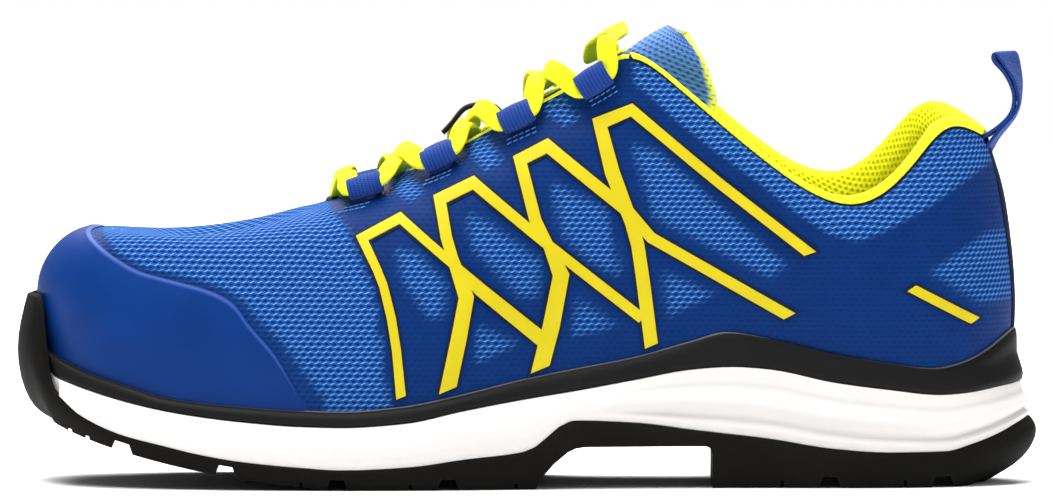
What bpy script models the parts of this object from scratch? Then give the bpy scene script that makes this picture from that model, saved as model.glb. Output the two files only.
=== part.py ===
"""Low safety shoe for the left foot.

The toe points to -X, the outer side of the foot faces -Y and the shoe stands on z = 0.
Every form is worked out in millimetres from the sizes and tables below, and is turned into
metres when its mesh is made. Along the shoe, "along" is the distance from the toe tip.
"""

import math
from collections import namedtuple

import bmesh
import bpy
import numpy as np

MM = 0.001

# Driving sizes, in millimetres
LENGTH = 300.0
BALL_WIDTH = 106.6
INSTEP_HEIGHT = 125.8
HEEL_HEIGHT = 102.3
GAP = 0.3
FILM_CLEARANCE = 0.45
WALL_CLEARANCE = 0.6

UPPER_WALL = 2.0
FILM_THICKNESS = 0.8
INSOLE_THICKNESS = 4.2
CUP_DEPTH = 0.8
TUNNEL_HEIGHT = 12.3
HEEL_BREAST = 204.4

LACE_WIDTH = 6.0
LACE_THICKNESS = 1.5
LACE_SPREAD = (0.7, 0.66, 0.92, 1.0, 0.92, 0.66, 0.7)
LACE_OVER_EDGE = 2.6
LACE_SPACING = 6.4
LACE_MOUTH_GAP = 0.4
LACE_LEAVE = 2.0
LACE_BAR_UP = 88.6
LACE_CROSS_UP = (97.0, 108.6, 120.6)
LACE_TOP_UP = 132.4
LACE_UNDER_SHARE = 0.6

# How finely the forms are divided
HALF_STATIONS = 34
UPPER_ROWS = (0.0, 0.07, 0.15, 0.24, 0.33, 0.42, 0.51, 0.61, 0.74, 0.88, 1.0)

# Plan outline of the sole, from the toe tip to the back of the heel, for both sides of the foot
Outline = namedtuple("Outline", "station outer_along outer_across inner_along inner_across")
OUTLINE = (
    Outline("tip", 0.0, 9.0, 0.0, 9.0),
    Outline("nose", 4.0, -12.0, 3.0, 28.0),
    Outline("small_toe", 14.0, -29.0, 11.0, 40.0),
    Outline("toe_corner", 30.0, -41.0, 26.0, 47.5),
    Outline("toe_root", 55.0, -49.5, 52.0, 52.3),
    Outline("ball_front", 85.0, -53.3, 85.0, 53.2),
    Outline("ball_back", 115.0, -53.2, 115.0, 49.0),
    Outline("waist_front", 150.0, -47.5, 150.0, 39.5),
    Outline("waist", 185.0, -41.5, 185.0, 34.2),
    Outline("waist_back", 203.0, -39.4, 203.0, 33.6),
    Outline("heel_front", 222.0, -38.9, 222.0, 34.6),
    Outline("heel_widest", 245.0, -39.6, 245.0, 36.8),
    Outline("heel_side", 268.0, -36.5, 268.0, 34.6),
    Outline("heel_corner", 285.0, -27.5, 285.0, 26.6),
    Outline("heel_turn", 296.0, -14.5, 296.0, 14.0),
    Outline("heel_back", 300.0, 0.0, 300.0, 0.0),
)

# Heights of the lines that run along the side of the sole
Level = namedtuple("Level", "along rand_top rand_foot foxing bed tread")
LEVELS = (
    Level(0.0, 40.5, 35.2, 31.0, 29.5, 25.0),
    Level(9.4, 36.2, 31.5, 28.2, 27.5, 18.6),
    Level(19.0, 32.9, 28.5, 20.8, 25.0, 14.6),
    Level(31.0, 29.7, 25.3, 15.6, 22.4, 10.8),
    Level(43.0, 26.5, 22.8, 12.7, 20.0, 7.7),
    Level(55.0, 25.0, 21.0, 10.0, 18.2, 5.2),
    Level(67.0, 24.0, 19.7, 8.1, 16.9, 3.2),
    Level(83.0, 23.0, 18.5, 6.6, 15.8, 1.1),
    Level(96.0, 22.6, 18.2, 5.8, 15.4, 0.0),
    Level(115.0, 24.1, 19.4, 6.6, 16.2, 0.0),
    Level(132.0, 27.4, 22.9, 8.8, 18.2, 0.0),
    Level(150.0, 31.8, 26.2, 11.0, 20.8, 0.0),
    Level(164.0, 34.6, 28.4, 19.9, 23.6, 0.0),
    Level(182.0, 38.0, 31.6, 19.1, 25.4, 0.0),
    Level(199.0, 42.6, 34.6, 16.9, 26.4, 0.0),
    Level(210.0, 45.3, 35.3, 15.6, 26.5, 0.0),
    Level(220.0, 44.0, 34.7, 14.4, 26.2, 0.0),
    Level(240.0, 39.4, 30.7, 11.3, 24.8, 0.0),
    Level(256.0, 36.6, 28.6, 10.2, 23.8, 0.0),
    Level(273.0, 34.4, 26.9, 10.3, 23.2, 0.0),
    Level(281.0, 35.9, 27.3, 12.2, 23.3, 0.0),
    Level(291.0, 40.6, 28.6, 15.4, 23.8, 0.0),
    Level(300.0, 42.6, 29.8, 19.4, 24.4, 0.0),
)

# Edge of the opening: throat, eyestay, collar and heel, with the half widths from the instep line.
# The inner ankle side stands higher than the outer one by its lift.
Edge = namedtuple("Edge", "station along outer_half inner_half up inner_lift", defaults=(0.0,))
EDGES = (
    Edge("tip", 92.0, 0.0, 0.0, 83.0),
    Edge("nose", 92.4, 4.2, 4.2, 83.1),
    Edge("small_toe", 93.7, 8.0, 8.0, 83.4),
    Edge("toe_corner", 96.8, 11.6, 11.6, 84.4),
    Edge("toe_root", 102.6, 14.6, 14.6, 86.4),
    Edge("ball_front", 113.0, 16.6, 16.6, 90.8),
    Edge("ball_back", 127.0, 18.4, 18.4, 97.4),
    Edge("waist_front", 147.0, 20.6, 20.4, 108.4),
    Edge("waist", 169.0, 23.4, 22.6, 120.6),
    Edge("waist_back", 180.0, 26.0, 24.4, INSTEP_HEIGHT),
    Edge("heel_front", 194.0, 30.0, 27.2, 117.6, 1.4),
    Edge("heel_widest", 220.0, 32.6, 29.8, 95.8, 1.6),
    Edge("heel_side", 246.5, 31.0, 29.4, 83.7, 6.0),
    Edge("heel_corner", 263.5, 26.4, 25.6, 96.0, 9.4),
    Edge("heel_turn", 275.5, 17.6, 17.4, 106.0, 2.2),
    Edge("heel_back", 284.7, 0.0, 0.0, HEEL_HEIGHT),
)

# Shape of the upper between feather line and edge. Each "in" and "up" is a share of the way
# from the feather to the edge, in plan and in height, and "swell" is the outward belly.
Rib = namedtuple(
    "Rib",
    "station tuck wall_in wall_up flank_in flank_up shoulder_in shoulder_up crown_in crown_up swell",
)
RIBS = (
    Rib("tip", 10.6, -0.030, 0.42, 0.016, 0.672, 0.185, 0.838, 0.548, 0.828, 0.0),
    Rib("nose", 10.4, -0.030, 0.42, 0.018, 0.670, 0.190, 0.835, 0.550, 0.830, 0.0),
    Rib("small_toe", 9.0, -0.022, 0.40, 0.036, 0.650, 0.205, 0.820, 0.550, 0.840, 0.0),
    Rib("toe_corner", 7.6, -0.018, 0.37, 0.050, 0.615, 0.220, 0.790, 0.560, 0.865, 0.0),
    Rib("toe_root", 7.0, -0.020, 0.34, 0.060, 0.580, 0.240, 0.755, 0.570, 0.880, 0.0),
    Rib("ball_front", 6.8, -0.030, 0.32, 0.070, 0.545, 0.280, 0.745, 0.600, 0.890, 0.0),
    Rib("ball_back", 6.8, -0.040, 0.30, 0.060, 0.530, 0.280, 0.740, 0.600, 0.890, 0.0),
    Rib("waist_front", 6.8, -0.060, 0.29, 0.040, 0.530, 0.280, 0.755, 0.600, 0.900, 0.4),
    Rib("waist", 6.8, 0.000, 0.27, 0.100, 0.510, 0.380, 0.755, 0.680, 0.900, 2.2),
    Rib("waist_back", 6.8, 0.070, 0.26, 0.260, 0.505, 0.560, 0.755, 0.800, 0.900, 3.6),
    Rib("heel_front", 6.8, 0.140, 0.25, 0.400, 0.500, 0.690, 0.750, 0.880, 0.900, 4.4),
    Rib("heel_widest", 7.0, 0.180, 0.25, 0.450, 0.500, 0.720, 0.750, 0.890, 0.900, 4.2),
    Rib("heel_side", 7.4, 0.180, 0.25, 0.450, 0.500, 0.720, 0.750, 0.890, 0.900, 4.2),
    Rib("heel_corner", 8.2, 0.160, 0.25, 0.430, 0.485, 0.710, 0.740, 0.890, 0.890, 4.8),
    Rib("heel_turn", 9.0, 0.130, 0.25, 0.410, 0.475, 0.710, 0.725, 0.890, 0.885, 4.6),
    Rib("heel_back", 9.2, 0.120, 0.25, 0.400, 0.470, 0.710, 0.720, 0.900, 0.880, 4.4),
)
RIB_KNOTS = (0.0, 0.17, 0.34, 0.52, 0.75, 1.0)
SWELL_SHARE = (0.0, 0.62, 1.0, 0.92, 0.5, 0.0)

# Rings of the sole pieces, from below upwards, with insets from the outline on the side, at the
# toe and at the back of the heel
OutsoleRing = namedtuple("OutsoleRing", "name side_in side_up toe_in toe_z heel_in heel_up")
OUTSOLE_RINGS = (
    OutsoleRing("tread_edge", 2.2, 0.0, 10.0, 18.2, 15.0, 0.0),
    OutsoleRing("side_low", 0.9, 0.40, 3.4, 24.0, 4.2, 0.36),
    OutsoleRing("side_high", 0.2, 0.80, 0.0, 38.5, 0.0, 0.76),
    OutsoleRing("rim_outer", 0.5, 1.0, 4.6, 54.8, 2.0, 1.0),
    OutsoleRing("rim_inner", 2.4, 1.0, 6.3, 55.2, 4.2, 1.0),
)
MidsoleRing = namedtuple("MidsoleRing", "name share front_in rear_in")
MIDSOLE_RINGS = (
    MidsoleRing("lower_lip", 0.0, 0.8, 1.0),
    MidsoleRing("lower_lip_top", 0.11, 0.5, 0.7),
    MidsoleRing("lower_groove", 0.235, 0.5, 1.9),
    MidsoleRing("belly", 0.47, 0.8, 0.6),
    MidsoleRing("upper_groove", 0.74, 1.7, 2.4),
    MidsoleRing("top", 1.0, 3.0, 3.2),
)
RandRing = namedtuple("RandRing", "name share side_in heel_in least_wall")
RAND_RINGS = (
    RandRing("foot", 0.0, 3.1, 4.9, 1.8),
    RandRing("middle", 0.45, 3.3, 5.6, 1.8),
    RandRing("top", 0.93, 4.5, 7.0, 1.2),
)
RAND_INNER_SHARES = (1.0, 0.5, 0.0)
BUMPER_CLEARANCE = 0.4
BUMPER_REACH = 7.0
MIDSOLE_HEEL_EXTRA = 1.5
RIB_FADE = (172.0, 200.0)
MOUTH_DROP = 2.0
CUTTER_REACH = 70.0
TOE_FADE = (22.0, 34.0)
HEEL_FADE = (16.0, 46.0)

# Transverse tread grooves: place, width at the mouth and the root, depth and forward sweep
Groove = namedtuple("Groove", "name along mouth root depth sweep")
GROOVES = (
    Groove("toe", 30.5, 7.7, 4.0, 3.0, 5.0),
    Groove("fore_1", 60.3, 7.7, 4.0, 3.2, 6.0),
    Groove("fore_2", 92.6, 7.7, 4.0, 3.2, 6.0),
    Groove("fore_3", 125.0, 7.7, 4.0, 3.2, 6.0),
    Groove("heel_1", 240.0, 7.7, 4.0, 3.4, -5.0),
    Groove("heel_2", 273.0, 7.7, 4.0, 3.4, -5.0),
)

# Channels along the tread that part its bars into lugs: places along and across, from front to back
Channel = namedtuple("Channel", "name width depth path")
CHANNELS = (
    Channel("fore", 5.0, 3.0, ((44.0, 1.0), (62.0, 0.6), (80.0, 0.0), (98.0, -1.0), (144.0, -4.0))),
    Channel("heel", 5.0, 3.2, ((212.0, -2.4), (291.0, 0.0))),
)

# Yellow side lattice as centre lines in side view: along and height of each corner
Strip = namedtuple("Strip", "name width path")
LATTICE = (
    Strip("front_hairpin", 3.7, (
        (112.6, 25.6), (111.4, 39.0), (110.0, 51.5), (106.3, 63.8), (102.1, 74.2),
        (112.0, 78.8), (124.0, 69.6), (154.0, 44.0))),
    Strip("second_hairpin", 3.9, (
        (127.6, 66.0), (124.2, 85.0), (134.0, 89.4), (155.4, 73.0), (183.4, 50.6))),
    Strip("third_hairpin", 3.9, (
        (155.4, 71.4), (147.8, 96.2), (156.4, 100.4), (178.6, 80.6), (229.0, 49.4))),
    Strip("fourth_hairpin", 3.8, (
        (180.4, 79.4), (171.0, 107.0), (180.6, 111.0), (233.6, 67.8))),
    Strip("first_leg", 4.6, ((129.6, 64.8), (130.4, 55.0), (126.6, 28.4))),
    Strip("second_leg", 4.6, ((158.6, 68.0), (157.6, 57.0), (153.8, 34.0))),
    Strip("third_leg", 4.6, ((180.6, 78.6), (184.2, 60.0), (186.2, 41.6))),
)
HEEL_DASH = Strip("heel_dash", 3.6, ((261.4, 58.0), (281.2, 48.0)))
LATTICE_CELL = {0: 20.0, 2: 8.0}
HEEL_DASH_CELL = {0: 4.0, 2: 8.0}

# Rear edge of the toe overlay as a share of the rib, at each station of the outline
TOE_CAP_EDGE = (
    ("tip", 0.55), ("nose", 0.535), ("small_toe", 0.48), ("toe_corner", 0.415), ("toe_root", 0.345),
)
TOE_CAP_END_ALONG = 80.0

# Tongue, from its root under the vamp to its top edge
Tongue = namedtuple("Tongue", "along centre_up wing_along wing_half wing_up thick")
TONGUE = (
    Tongue(80.0, 73.6, 84.0, 11.0, 71.6, 2.2),
    Tongue(93.0, 79.0, 97.0, 14.0, 74.6, 2.6),
    Tongue(113.0, 90.0, 122.0, 18.5, 80.0, 3.2),
    Tongue(136.0, 102.2, 150.0, 20.5, 89.0, 3.6),
    Tongue(157.0, 112.6, 178.0, 21.5, 97.0, 4.0),
    Tongue(170.0, 119.4, 199.0, 22.0, 105.0, 4.6),
    Tongue(180.0, 126.2, 203.6, 22.0, 115.4, 5.0),
    Tongue(187.4, 130.6, 199.6, 21.0, 125.0, 4.4),
    Tongue(192.0, 132.6, 196.4, 17.5, 131.0, 3.0),
)
TONGUE_ACROSS = 7

# Padded collar: depth below the edge, distance from the wall's inner face, from front to back
COLLAR_DEPTH = 36.0
COLLAR_RISE = 2.4
COLLAR_PAD = 5.0
COLLAR_START_STATION = 9.0

# Webbing loops that carry the lace: place along the eyestay and share of the rib
Loop = namedtuple("Loop", "along share")
LOOPS = (Loop(102.8, 0.84), Loop(123.8, 0.87), Loop(146.4, 0.90), Loop(169.8, 0.91))
LOOP_LENGTH = 10.0
LOOP_HALF_HEIGHT = 4.4
LOOP_HALF_DEPTH = 3.1
LOOP_WALL = 1.3
LOOP_SIDES = 8

# Heel webbing and pull loop: outer ply upwards, then down inside, in the middle plane
HEEL_STRIP_WIDTH = 9.0
HEEL_STRIP_THICKNESS = 1.0
HEEL_STRIP_TOP = 0.965
PULL_WIDTH = 13.0
PULL_THICKNESS = 1.2
PULL_TWIST = math.radians(24.0)
PULL_SPACING = 3.8
PULL_SEAT_SHARES = (0.80, 0.90)
PULL_PATH = (
    (291.0, 105.0), (294.0, 109.4), (295.4, 114.0), (295.2, 119.0),
    (293.4, 123.4), (290.2, 125.0), (288.2, 123.2), (290.6, 119.6), (292.6, 115.6),
    (292.6, 111.6), (290.4, 108.0), (286.4, 105.4),
)


def clear_scene():
    """Take out whatever the file already holds."""
    for item in list(bpy.data.objects):
        bpy.data.objects.remove(item, do_unlink=True)


def make_collection(name):
    """A new collection under the scene."""
    group = bpy.data.collections.new(name)
    bpy.context.scene.collection.children.link(group)
    return group


def make_material(name, colour, roughness, metallic=0.0):
    """A plain Principled material."""
    material = bpy.data.materials.new(name)
    material.use_nodes = True
    shader = material.node_tree.nodes["Principled BSDF"]
    shader.inputs["Base Color"].default_value = (*colour, 1.0)
    shader.inputs["Roughness"].default_value = roughness
    shader.inputs["Metallic"].default_value = metallic
    return material


def make_object(name, points, faces, material, group):
    """One closed mesh object from points in millimetres."""
    mesh = bpy.data.meshes.new(name)
    mesh.from_pydata([tuple(p) for p in np.asarray(points) * MM], [], faces)
    edit = bmesh.new()
    edit.from_mesh(mesh)
    bmesh.ops.recalc_face_normals(edit, faces=edit.faces)
    edit.to_mesh(mesh)
    edit.free()
    mesh.shade_smooth()
    mesh.set_sharp_from_angle(angle=math.radians(40.0))
    item = bpy.data.objects.new(name, mesh)
    item.data.materials.append(material)
    group.objects.link(item)
    return item


def apply_modifiers(item):
    """Replace an object's mesh by what its modifiers make of it."""
    bpy.context.view_layer.update()
    graph = bpy.context.evaluated_depsgraph_get()
    mesh = bpy.data.meshes.new_from_object(item.evaluated_get(graph))
    item.modifiers.clear()
    item.data = mesh


def boolean(item, cutter, operation, solver="EXACT"):
    """Cut or join one object with another."""
    modifier = item.modifiers.new(operation.lower(), "BOOLEAN")
    modifier.operation = operation
    modifier.solver = solver
    modifier.object = cutter


def hide_cutter(item):
    """Mark an object as a tool that isn't a part."""
    item.hide_render = True
    item.display_type = "WIRE"


def smoothstep(low, high, value):
    """Soft ramp from 0 to 1 between two values."""
    share = np.clip((np.asarray(value, float) - low) / (high - low), 0.0, 1.0)
    return share * share * (3.0 - 2.0 * share)


def monotone(xs, ys, x):
    """Smooth curve through rising stations that never overshoots its rows."""
    xs = np.asarray(xs, float)
    ys = np.asarray(ys, float)
    step = np.diff(xs)
    slope = np.diff(ys) / step
    tangent = np.zeros_like(ys)
    tangent[0] = slope[0]
    tangent[-1] = slope[-1]
    for k in range(1, len(xs) - 1):
        if slope[k - 1] * slope[k] > 0.0:
            first = 2.0 * step[k] + step[k - 1]
            second = step[k] + 2.0 * step[k - 1]
            tangent[k] = (first + second) / (first / slope[k - 1] + second / slope[k])
    x = np.clip(np.asarray(x, float), xs[0], xs[-1])
    k = np.clip(np.searchsorted(xs, x, side="right") - 1, 0, len(xs) - 2)
    t = (x - xs[k]) / step[k]
    return (ys[k] * (1 + 2 * t) * (1 - t) ** 2 + tangent[k] * step[k] * t * (1 - t) ** 2
            + ys[k + 1] * t * t * (3 - 2 * t) + tangent[k + 1] * step[k] * t * t * (t - 1))


def spline_curvatures(knots, values, closed):
    """Second derivatives of the cubic spline through the values, closed or with free ends."""
    count = len(knots)
    step = np.diff(knots)
    system = np.zeros((count, count))
    right = np.zeros((count,) + values.shape[1:])
    inner = range(1, count - 1)
    for k in inner:
        system[k, k - 1:k + 2] = step[k - 1], 2.0 * (step[k - 1] + step[k]), step[k]
        right[k] = 6.0 * ((values[k + 1] - values[k]) / step[k] - (values[k] - values[k - 1]) / step[k - 1])
    if closed:
        system[0, 0] = 1.0
        system[0, -1] = -1.0
        system[-1, 0] = 2.0 * (step[0] + step[-1])
        system[-1, 1] = step[0]
        system[-1, -2] = step[-1]
        right[-1] = 6.0 * ((values[1] - values[0]) / step[0] - (values[-1] - values[-2]) / step[-1])
    else:
        system[0, 0] = 1.0
        system[-1, -1] = 1.0
    return np.linalg.solve(system, right.reshape(count, -1)).reshape(right.shape)


def spline(knots, values, x, closed=False):
    """Cubic spline through rows of values, read at each x."""
    knots = np.asarray(knots, float)
    values = np.asarray(values, float)
    bend = spline_curvatures(knots, values, closed)
    x = np.atleast_1d(np.asarray(x, float))
    k = np.clip(np.searchsorted(knots, x, side="right") - 1, 0, len(knots) - 2)
    step = knots[k + 1] - knots[k]
    right = (x - knots[k]) / step
    left = 1.0 - right
    shape = (-1,) + (1,) * (values.ndim - 1)
    left, right, step = left.reshape(shape), right.reshape(shape), step.reshape(shape)
    return (left * values[k] + right * values[k + 1]
            + ((left ** 3 - left) * bend[k] + (right ** 3 - right) * bend[k + 1]) * step * step / 6.0)


def unit(vectors):
    """Vectors of length one."""
    return vectors / np.linalg.norm(vectors, axis=-1, keepdims=True)


def station_knots():
    """Distance of each outline station from the toe tip, the mean of both sides of the foot."""
    knots = [0.0]
    for a, b in zip(OUTLINE, OUTLINE[1:]):
        outer = math.hypot(b.outer_along - a.outer_along, b.outer_across - a.outer_across)
        inner = math.hypot(b.inner_along - a.inner_along, b.inner_across - a.inner_across)
        knots.append(knots[-1] + 0.5 * (outer + inner))
    return np.array(knots)


KNOTS = station_knots()
HALF_WAY = KNOTS[-1]
STATIONS = [row.station for row in OUTLINE]


def around(outer_rows, inner_rows, q):
    """Closed spline round the shoe: down the outer side from the toe, back up the inner side."""
    knots = np.concatenate([KNOTS, 2.0 * HALF_WAY - KNOTS[-2::-1]])
    values = np.concatenate([outer_rows, inner_rows[-2::-1]])
    return spline(knots, values, np.mod(q, 2.0 * HALF_WAY), closed=True)


def outline(q):
    """Plan points of the sole outline and their outward directions."""
    outer = np.array([(row.outer_along, row.outer_across) for row in OUTLINE])
    inner = np.array([(row.inner_along, row.inner_across) for row in OUTLINE])
    middle = 0.5 * (outer[:, 1].min() + inner[:, 1].max())
    scale = (1.0, BALL_WIDTH / (inner[:, 1].max() - outer[:, 1].min()))
    points = (around(outer, inner, q) - (0.5 * LENGTH, middle)) * scale
    step = 0.5
    tangent = unit(around(outer, inner, q + step) - around(outer, inner, q - step))
    return points, np.stack([-tangent[:, 1], tangent[:, 0]], axis=1) * -1.0


def level(name, x):
    """Height of one of the sole's lines at a place along the shoe."""
    return monotone([row.along for row in LEVELS], [getattr(row, name) for row in LEVELS],
                    np.asarray(x) + 0.5 * LENGTH)


def toe_weight(q):
    """1 under the toe bumper, 0 along the side."""
    reach = np.minimum(q, 2.0 * HALF_WAY - q)
    return 1.0 - smoothstep(*TOE_FADE, reach)


def bumper_inset(q):
    """Inset that keeps a piece behind the toe bumper, which starts a little before its rim rises."""
    reach = np.minimum(q, 2.0 * HALF_WAY - q)
    start, end = TOE_FADE
    behind = 1.0 - smoothstep(start + BUMPER_REACH, end + BUMPER_REACH, reach)
    near = 1.0 - smoothstep(end + BUMPER_REACH - 1.0, end + 2.0 * BUMPER_REACH, reach)
    rim = OUTSOLE_RINGS[-1]
    return near * (rim.side_in + (rim.toe_in - rim.side_in) * behind + BUMPER_CLEARANCE)


def heel_weight(q):
    """1 at the back of the heel, 0 along the side."""
    return 1.0 - smoothstep(*HEEL_FADE, np.abs(q - HALF_WAY))


def ring_places():
    """Places round the outline, closer together at the toe than along the side."""
    share = np.linspace(0.0, 1.0, HALF_STATIONS + 1)
    half = HALF_WAY * monotone((0.0, 0.25, 0.5, 0.78, 1.0), (0.0, 0.14, 0.41, 0.76, 1.0), share)
    return np.concatenate([half, 2.0 * HALF_WAY - half[-2:0:-1]])


def ring(q, inset, height):
    """A ring of points at an inset from the outline."""
    points, outward = outline(q)
    plan = points - outward * np.broadcast_to(inset, q.shape)[:, None]
    return np.column_stack([plan, np.broadcast_to(height, q.shape)])


def instep_line(x):
    """Sideways place of the instep line, which leans to the inner side in front."""
    return np.interp(np.asarray(x), (-60.0, 70.0), (3.0, 0.0))


def rib_controls(q):
    """Six control points of the upper's rib at each place round the shoe."""
    plan, outward = outline(q)
    columns = np.array([tuple(row)[1:] for row in RIBS])
    values = around(columns, columns, q)
    outer_edge = np.array([(row.along - 0.5 * LENGTH, -row.outer_half, row.up) for row in EDGES])
    inner_edge = np.array([(row.along - 0.5 * LENGTH, row.inner_half, row.up + row.inner_lift) for row in EDGES])
    top = around(outer_edge, inner_edge, q)
    top[:, 1] += instep_line(top[:, 0])
    foot = plan - outward * values[:, :1]
    base = np.column_stack([foot, level("bed", plan[:, 0]) + 0.6])
    across = np.column_stack([top[:, :2] - foot, np.zeros(len(q))])
    rise = (top[:, 2] - base[:, 2])[:, None] * (0.0, 0.0, 1.0)
    belly = np.column_stack([outward, np.zeros(len(q))]) * values[:, -1:]
    controls = [base]
    for k in range(4):
        share_in = values[:, 1 + 2 * k:2 + 2 * k]
        share_up = values[:, 2 + 2 * k:3 + 2 * k]
        controls.append(base + across * share_in + rise * share_up + belly * SWELL_SHARE[k + 1])
    controls.append(top)
    return np.stack(controls)


def upper_point(q, t):
    """Points of the upper's outer face at matching places q and shares t of the ribs."""
    controls = rib_controls(q)
    weights = spline(RIB_KNOTS, np.eye(len(RIB_KNOTS)), t)
    return np.einsum("nk,knc->nc", weights, controls)


def upper_frame(q, t):
    """Points of the upper's outer face with their outward directions."""
    q = np.asarray(q, float)
    t = np.asarray(t, float)
    step_q = 0.4
    step_t = 0.004
    low = np.clip(t - step_t, 0.0, 1.0)
    high = np.clip(t + step_t, 0.0, 1.0)
    along = upper_point(q + step_q, t) - upper_point(q - step_q, t)
    up = upper_point(q, high) - upper_point(q, low)
    return upper_point(q, t), unit(np.cross(along, up))


def rib_share_at_height(q, height):
    """Share of each rib at which its lower wall reaches a height."""
    low = np.zeros_like(q)
    high = np.full_like(q, 0.6)
    for _ in range(30):
        middle = 0.5 * (low + high)
        below = upper_point(q, middle)[:, 2] < height
        low = np.where(below, middle, low)
        high = np.where(below, high, middle)
    return 0.5 * (low + high)


def rib_share_below(q, depth):
    """Share of each rib at a distance below the edge, measured along the rib."""
    shares = np.linspace(1.0, 0.0, 41)
    points = np.stack([upper_point(q, np.full_like(q, share)) for share in shares])
    run = np.linalg.norm(np.diff(points, axis=0), axis=2)
    length = np.concatenate([np.zeros((1, len(q))), np.cumsum(run, axis=0)])
    return np.array([np.interp(depth, length[:, k], shares) for k in range(len(q))])


def side_place(along, height, side):
    """Place q and rib share t where the side of the upper shows at a point of the side view."""
    x = np.asarray(along, float) - 0.5 * LENGTH
    height = np.asarray(height, float)
    q_grid, t_grid = np.meshgrid(np.linspace(0.1, 0.95, 70) * HALF_WAY, np.linspace(0.02, 0.98, 50))
    q_grid = q_grid.ravel()
    t_grid = t_grid.ravel()
    if side > 0:
        q_grid = 2.0 * HALF_WAY - q_grid
    seen = upper_point(q_grid, t_grid)[:, [0, 2]]
    target = np.column_stack([x, height])
    nearest = np.argmin(((target[:, None, :] - seen[None, :, :]) ** 2).sum(axis=2), axis=1)
    q = q_grid[nearest]
    t = t_grid[nearest]
    step_q = 0.3
    step_t = 0.003
    for _ in range(12):
        now = upper_point(q, t)[:, [0, 2]]
        by_q = (upper_point(q + step_q, t)[:, [0, 2]] - now) / step_q
        by_t = (upper_point(q, t + step_t)[:, [0, 2]] - now) / step_t
        miss = target - now
        area = by_q[:, 0] * by_t[:, 1] - by_q[:, 1] * by_t[:, 0]
        q = q + 0.8 * (miss[:, 0] * by_t[:, 1] - miss[:, 1] * by_t[:, 0]) / area
        t = t + 0.8 * (by_q[:, 0] * miss[:, 1] - by_q[:, 1] * miss[:, 0]) / area
        t = np.clip(t, 0.0, 1.0)
    return q, t


def ring_faces(rows, count, wrap_rows=False):
    """Quads between successive closed rings."""
    faces = []
    for row in range(rows if wrap_rows else rows - 1):
        here = row * count
        there = (row + 1) % rows * count
        for k in range(count):
            after = (k + 1) % count
            faces.append((here + k, here + after, there + after, there + k))
    return faces


def paired_cap(first, count):
    """Strips across a closed ring that join each outer point to its partner on the inner side."""
    half = count // 2
    faces = [(first, first + 1, first + count - 1)]
    for k in range(1, half - 1):
        faces.append((first + k, first + k + 1, first + count - k - 1, first + count - k))
    faces.append((first + half - 1, first + half, first + half + 1))
    return faces


def stack_rings(name, rings, material, group):
    """A solid lofted through rings of equal size and closed across its first and last ring."""
    count = len(rings[0])
    faces = ring_faces(len(rings), count)
    faces += paired_cap(0, count)
    faces += paired_cap((len(rings) - 1) * count, count)
    return make_object(name, np.concatenate(rings), faces, material, group)


def sheet_solid(name, outer, inner, material, group):
    """A closed solid between two grids of the same size, given as rows of points."""
    rows, columns = outer.shape[:2]
    size = rows * columns
    faces = []
    for r in range(rows - 1):
        for c in range(columns - 1):
            a = r * columns + c
            quad = (a, a + 1, a + columns + 1, a + columns)
            faces.append(quad)
            faces.append(tuple(size + k for k in reversed(quad)))
    border = [c for c in range(columns)]
    border += [r * columns + columns - 1 for r in range(1, rows)]
    border += [(rows - 1) * columns + c for c in range(columns - 2, -1, -1)]
    border += [r * columns for r in range(rows - 2, 0, -1)]
    for a, b in zip(border, border[1:] + border[:1]):
        faces.append((a, size + a, size + b, b))
    points = np.concatenate([outer.reshape(-1, 3), inner.reshape(-1, 3)])
    return make_object(name, points, faces, material, group)


def overlay(name, q_rows, t_rows, lift, thickness, material, group):
    """A film on the upper, between two faces that follow the upper's own form."""
    point, outward = upper_frame(q_rows.ravel(), t_rows.ravel())
    under = (point + outward * lift).reshape(q_rows.shape + (3,))
    over = (point + outward * (lift + thickness)).reshape(q_rows.shape + (3,))
    return sheet_solid(name, over, under, material, group)


def prism(name, plan, low, high, group, axis):
    """A closed prism: a polygon in two axes, drawn out along the third."""
    other = [k for k in range(3) if k != axis]
    points = np.zeros((2 * len(plan), 3))
    points[:, other] = np.concatenate([plan, plan])
    points[:len(plan), axis] = low
    points[len(plan):, axis] = high
    count = len(plan)
    faces = [tuple(range(count)), tuple(range(2 * count - 1, count - 1, -1))]
    faces += [(k, k + count, (k + 1) % count + count, (k + 1) % count) for k in range(count)]
    return make_object(name, points, faces, TOOL_MATERIAL, group)


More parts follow.
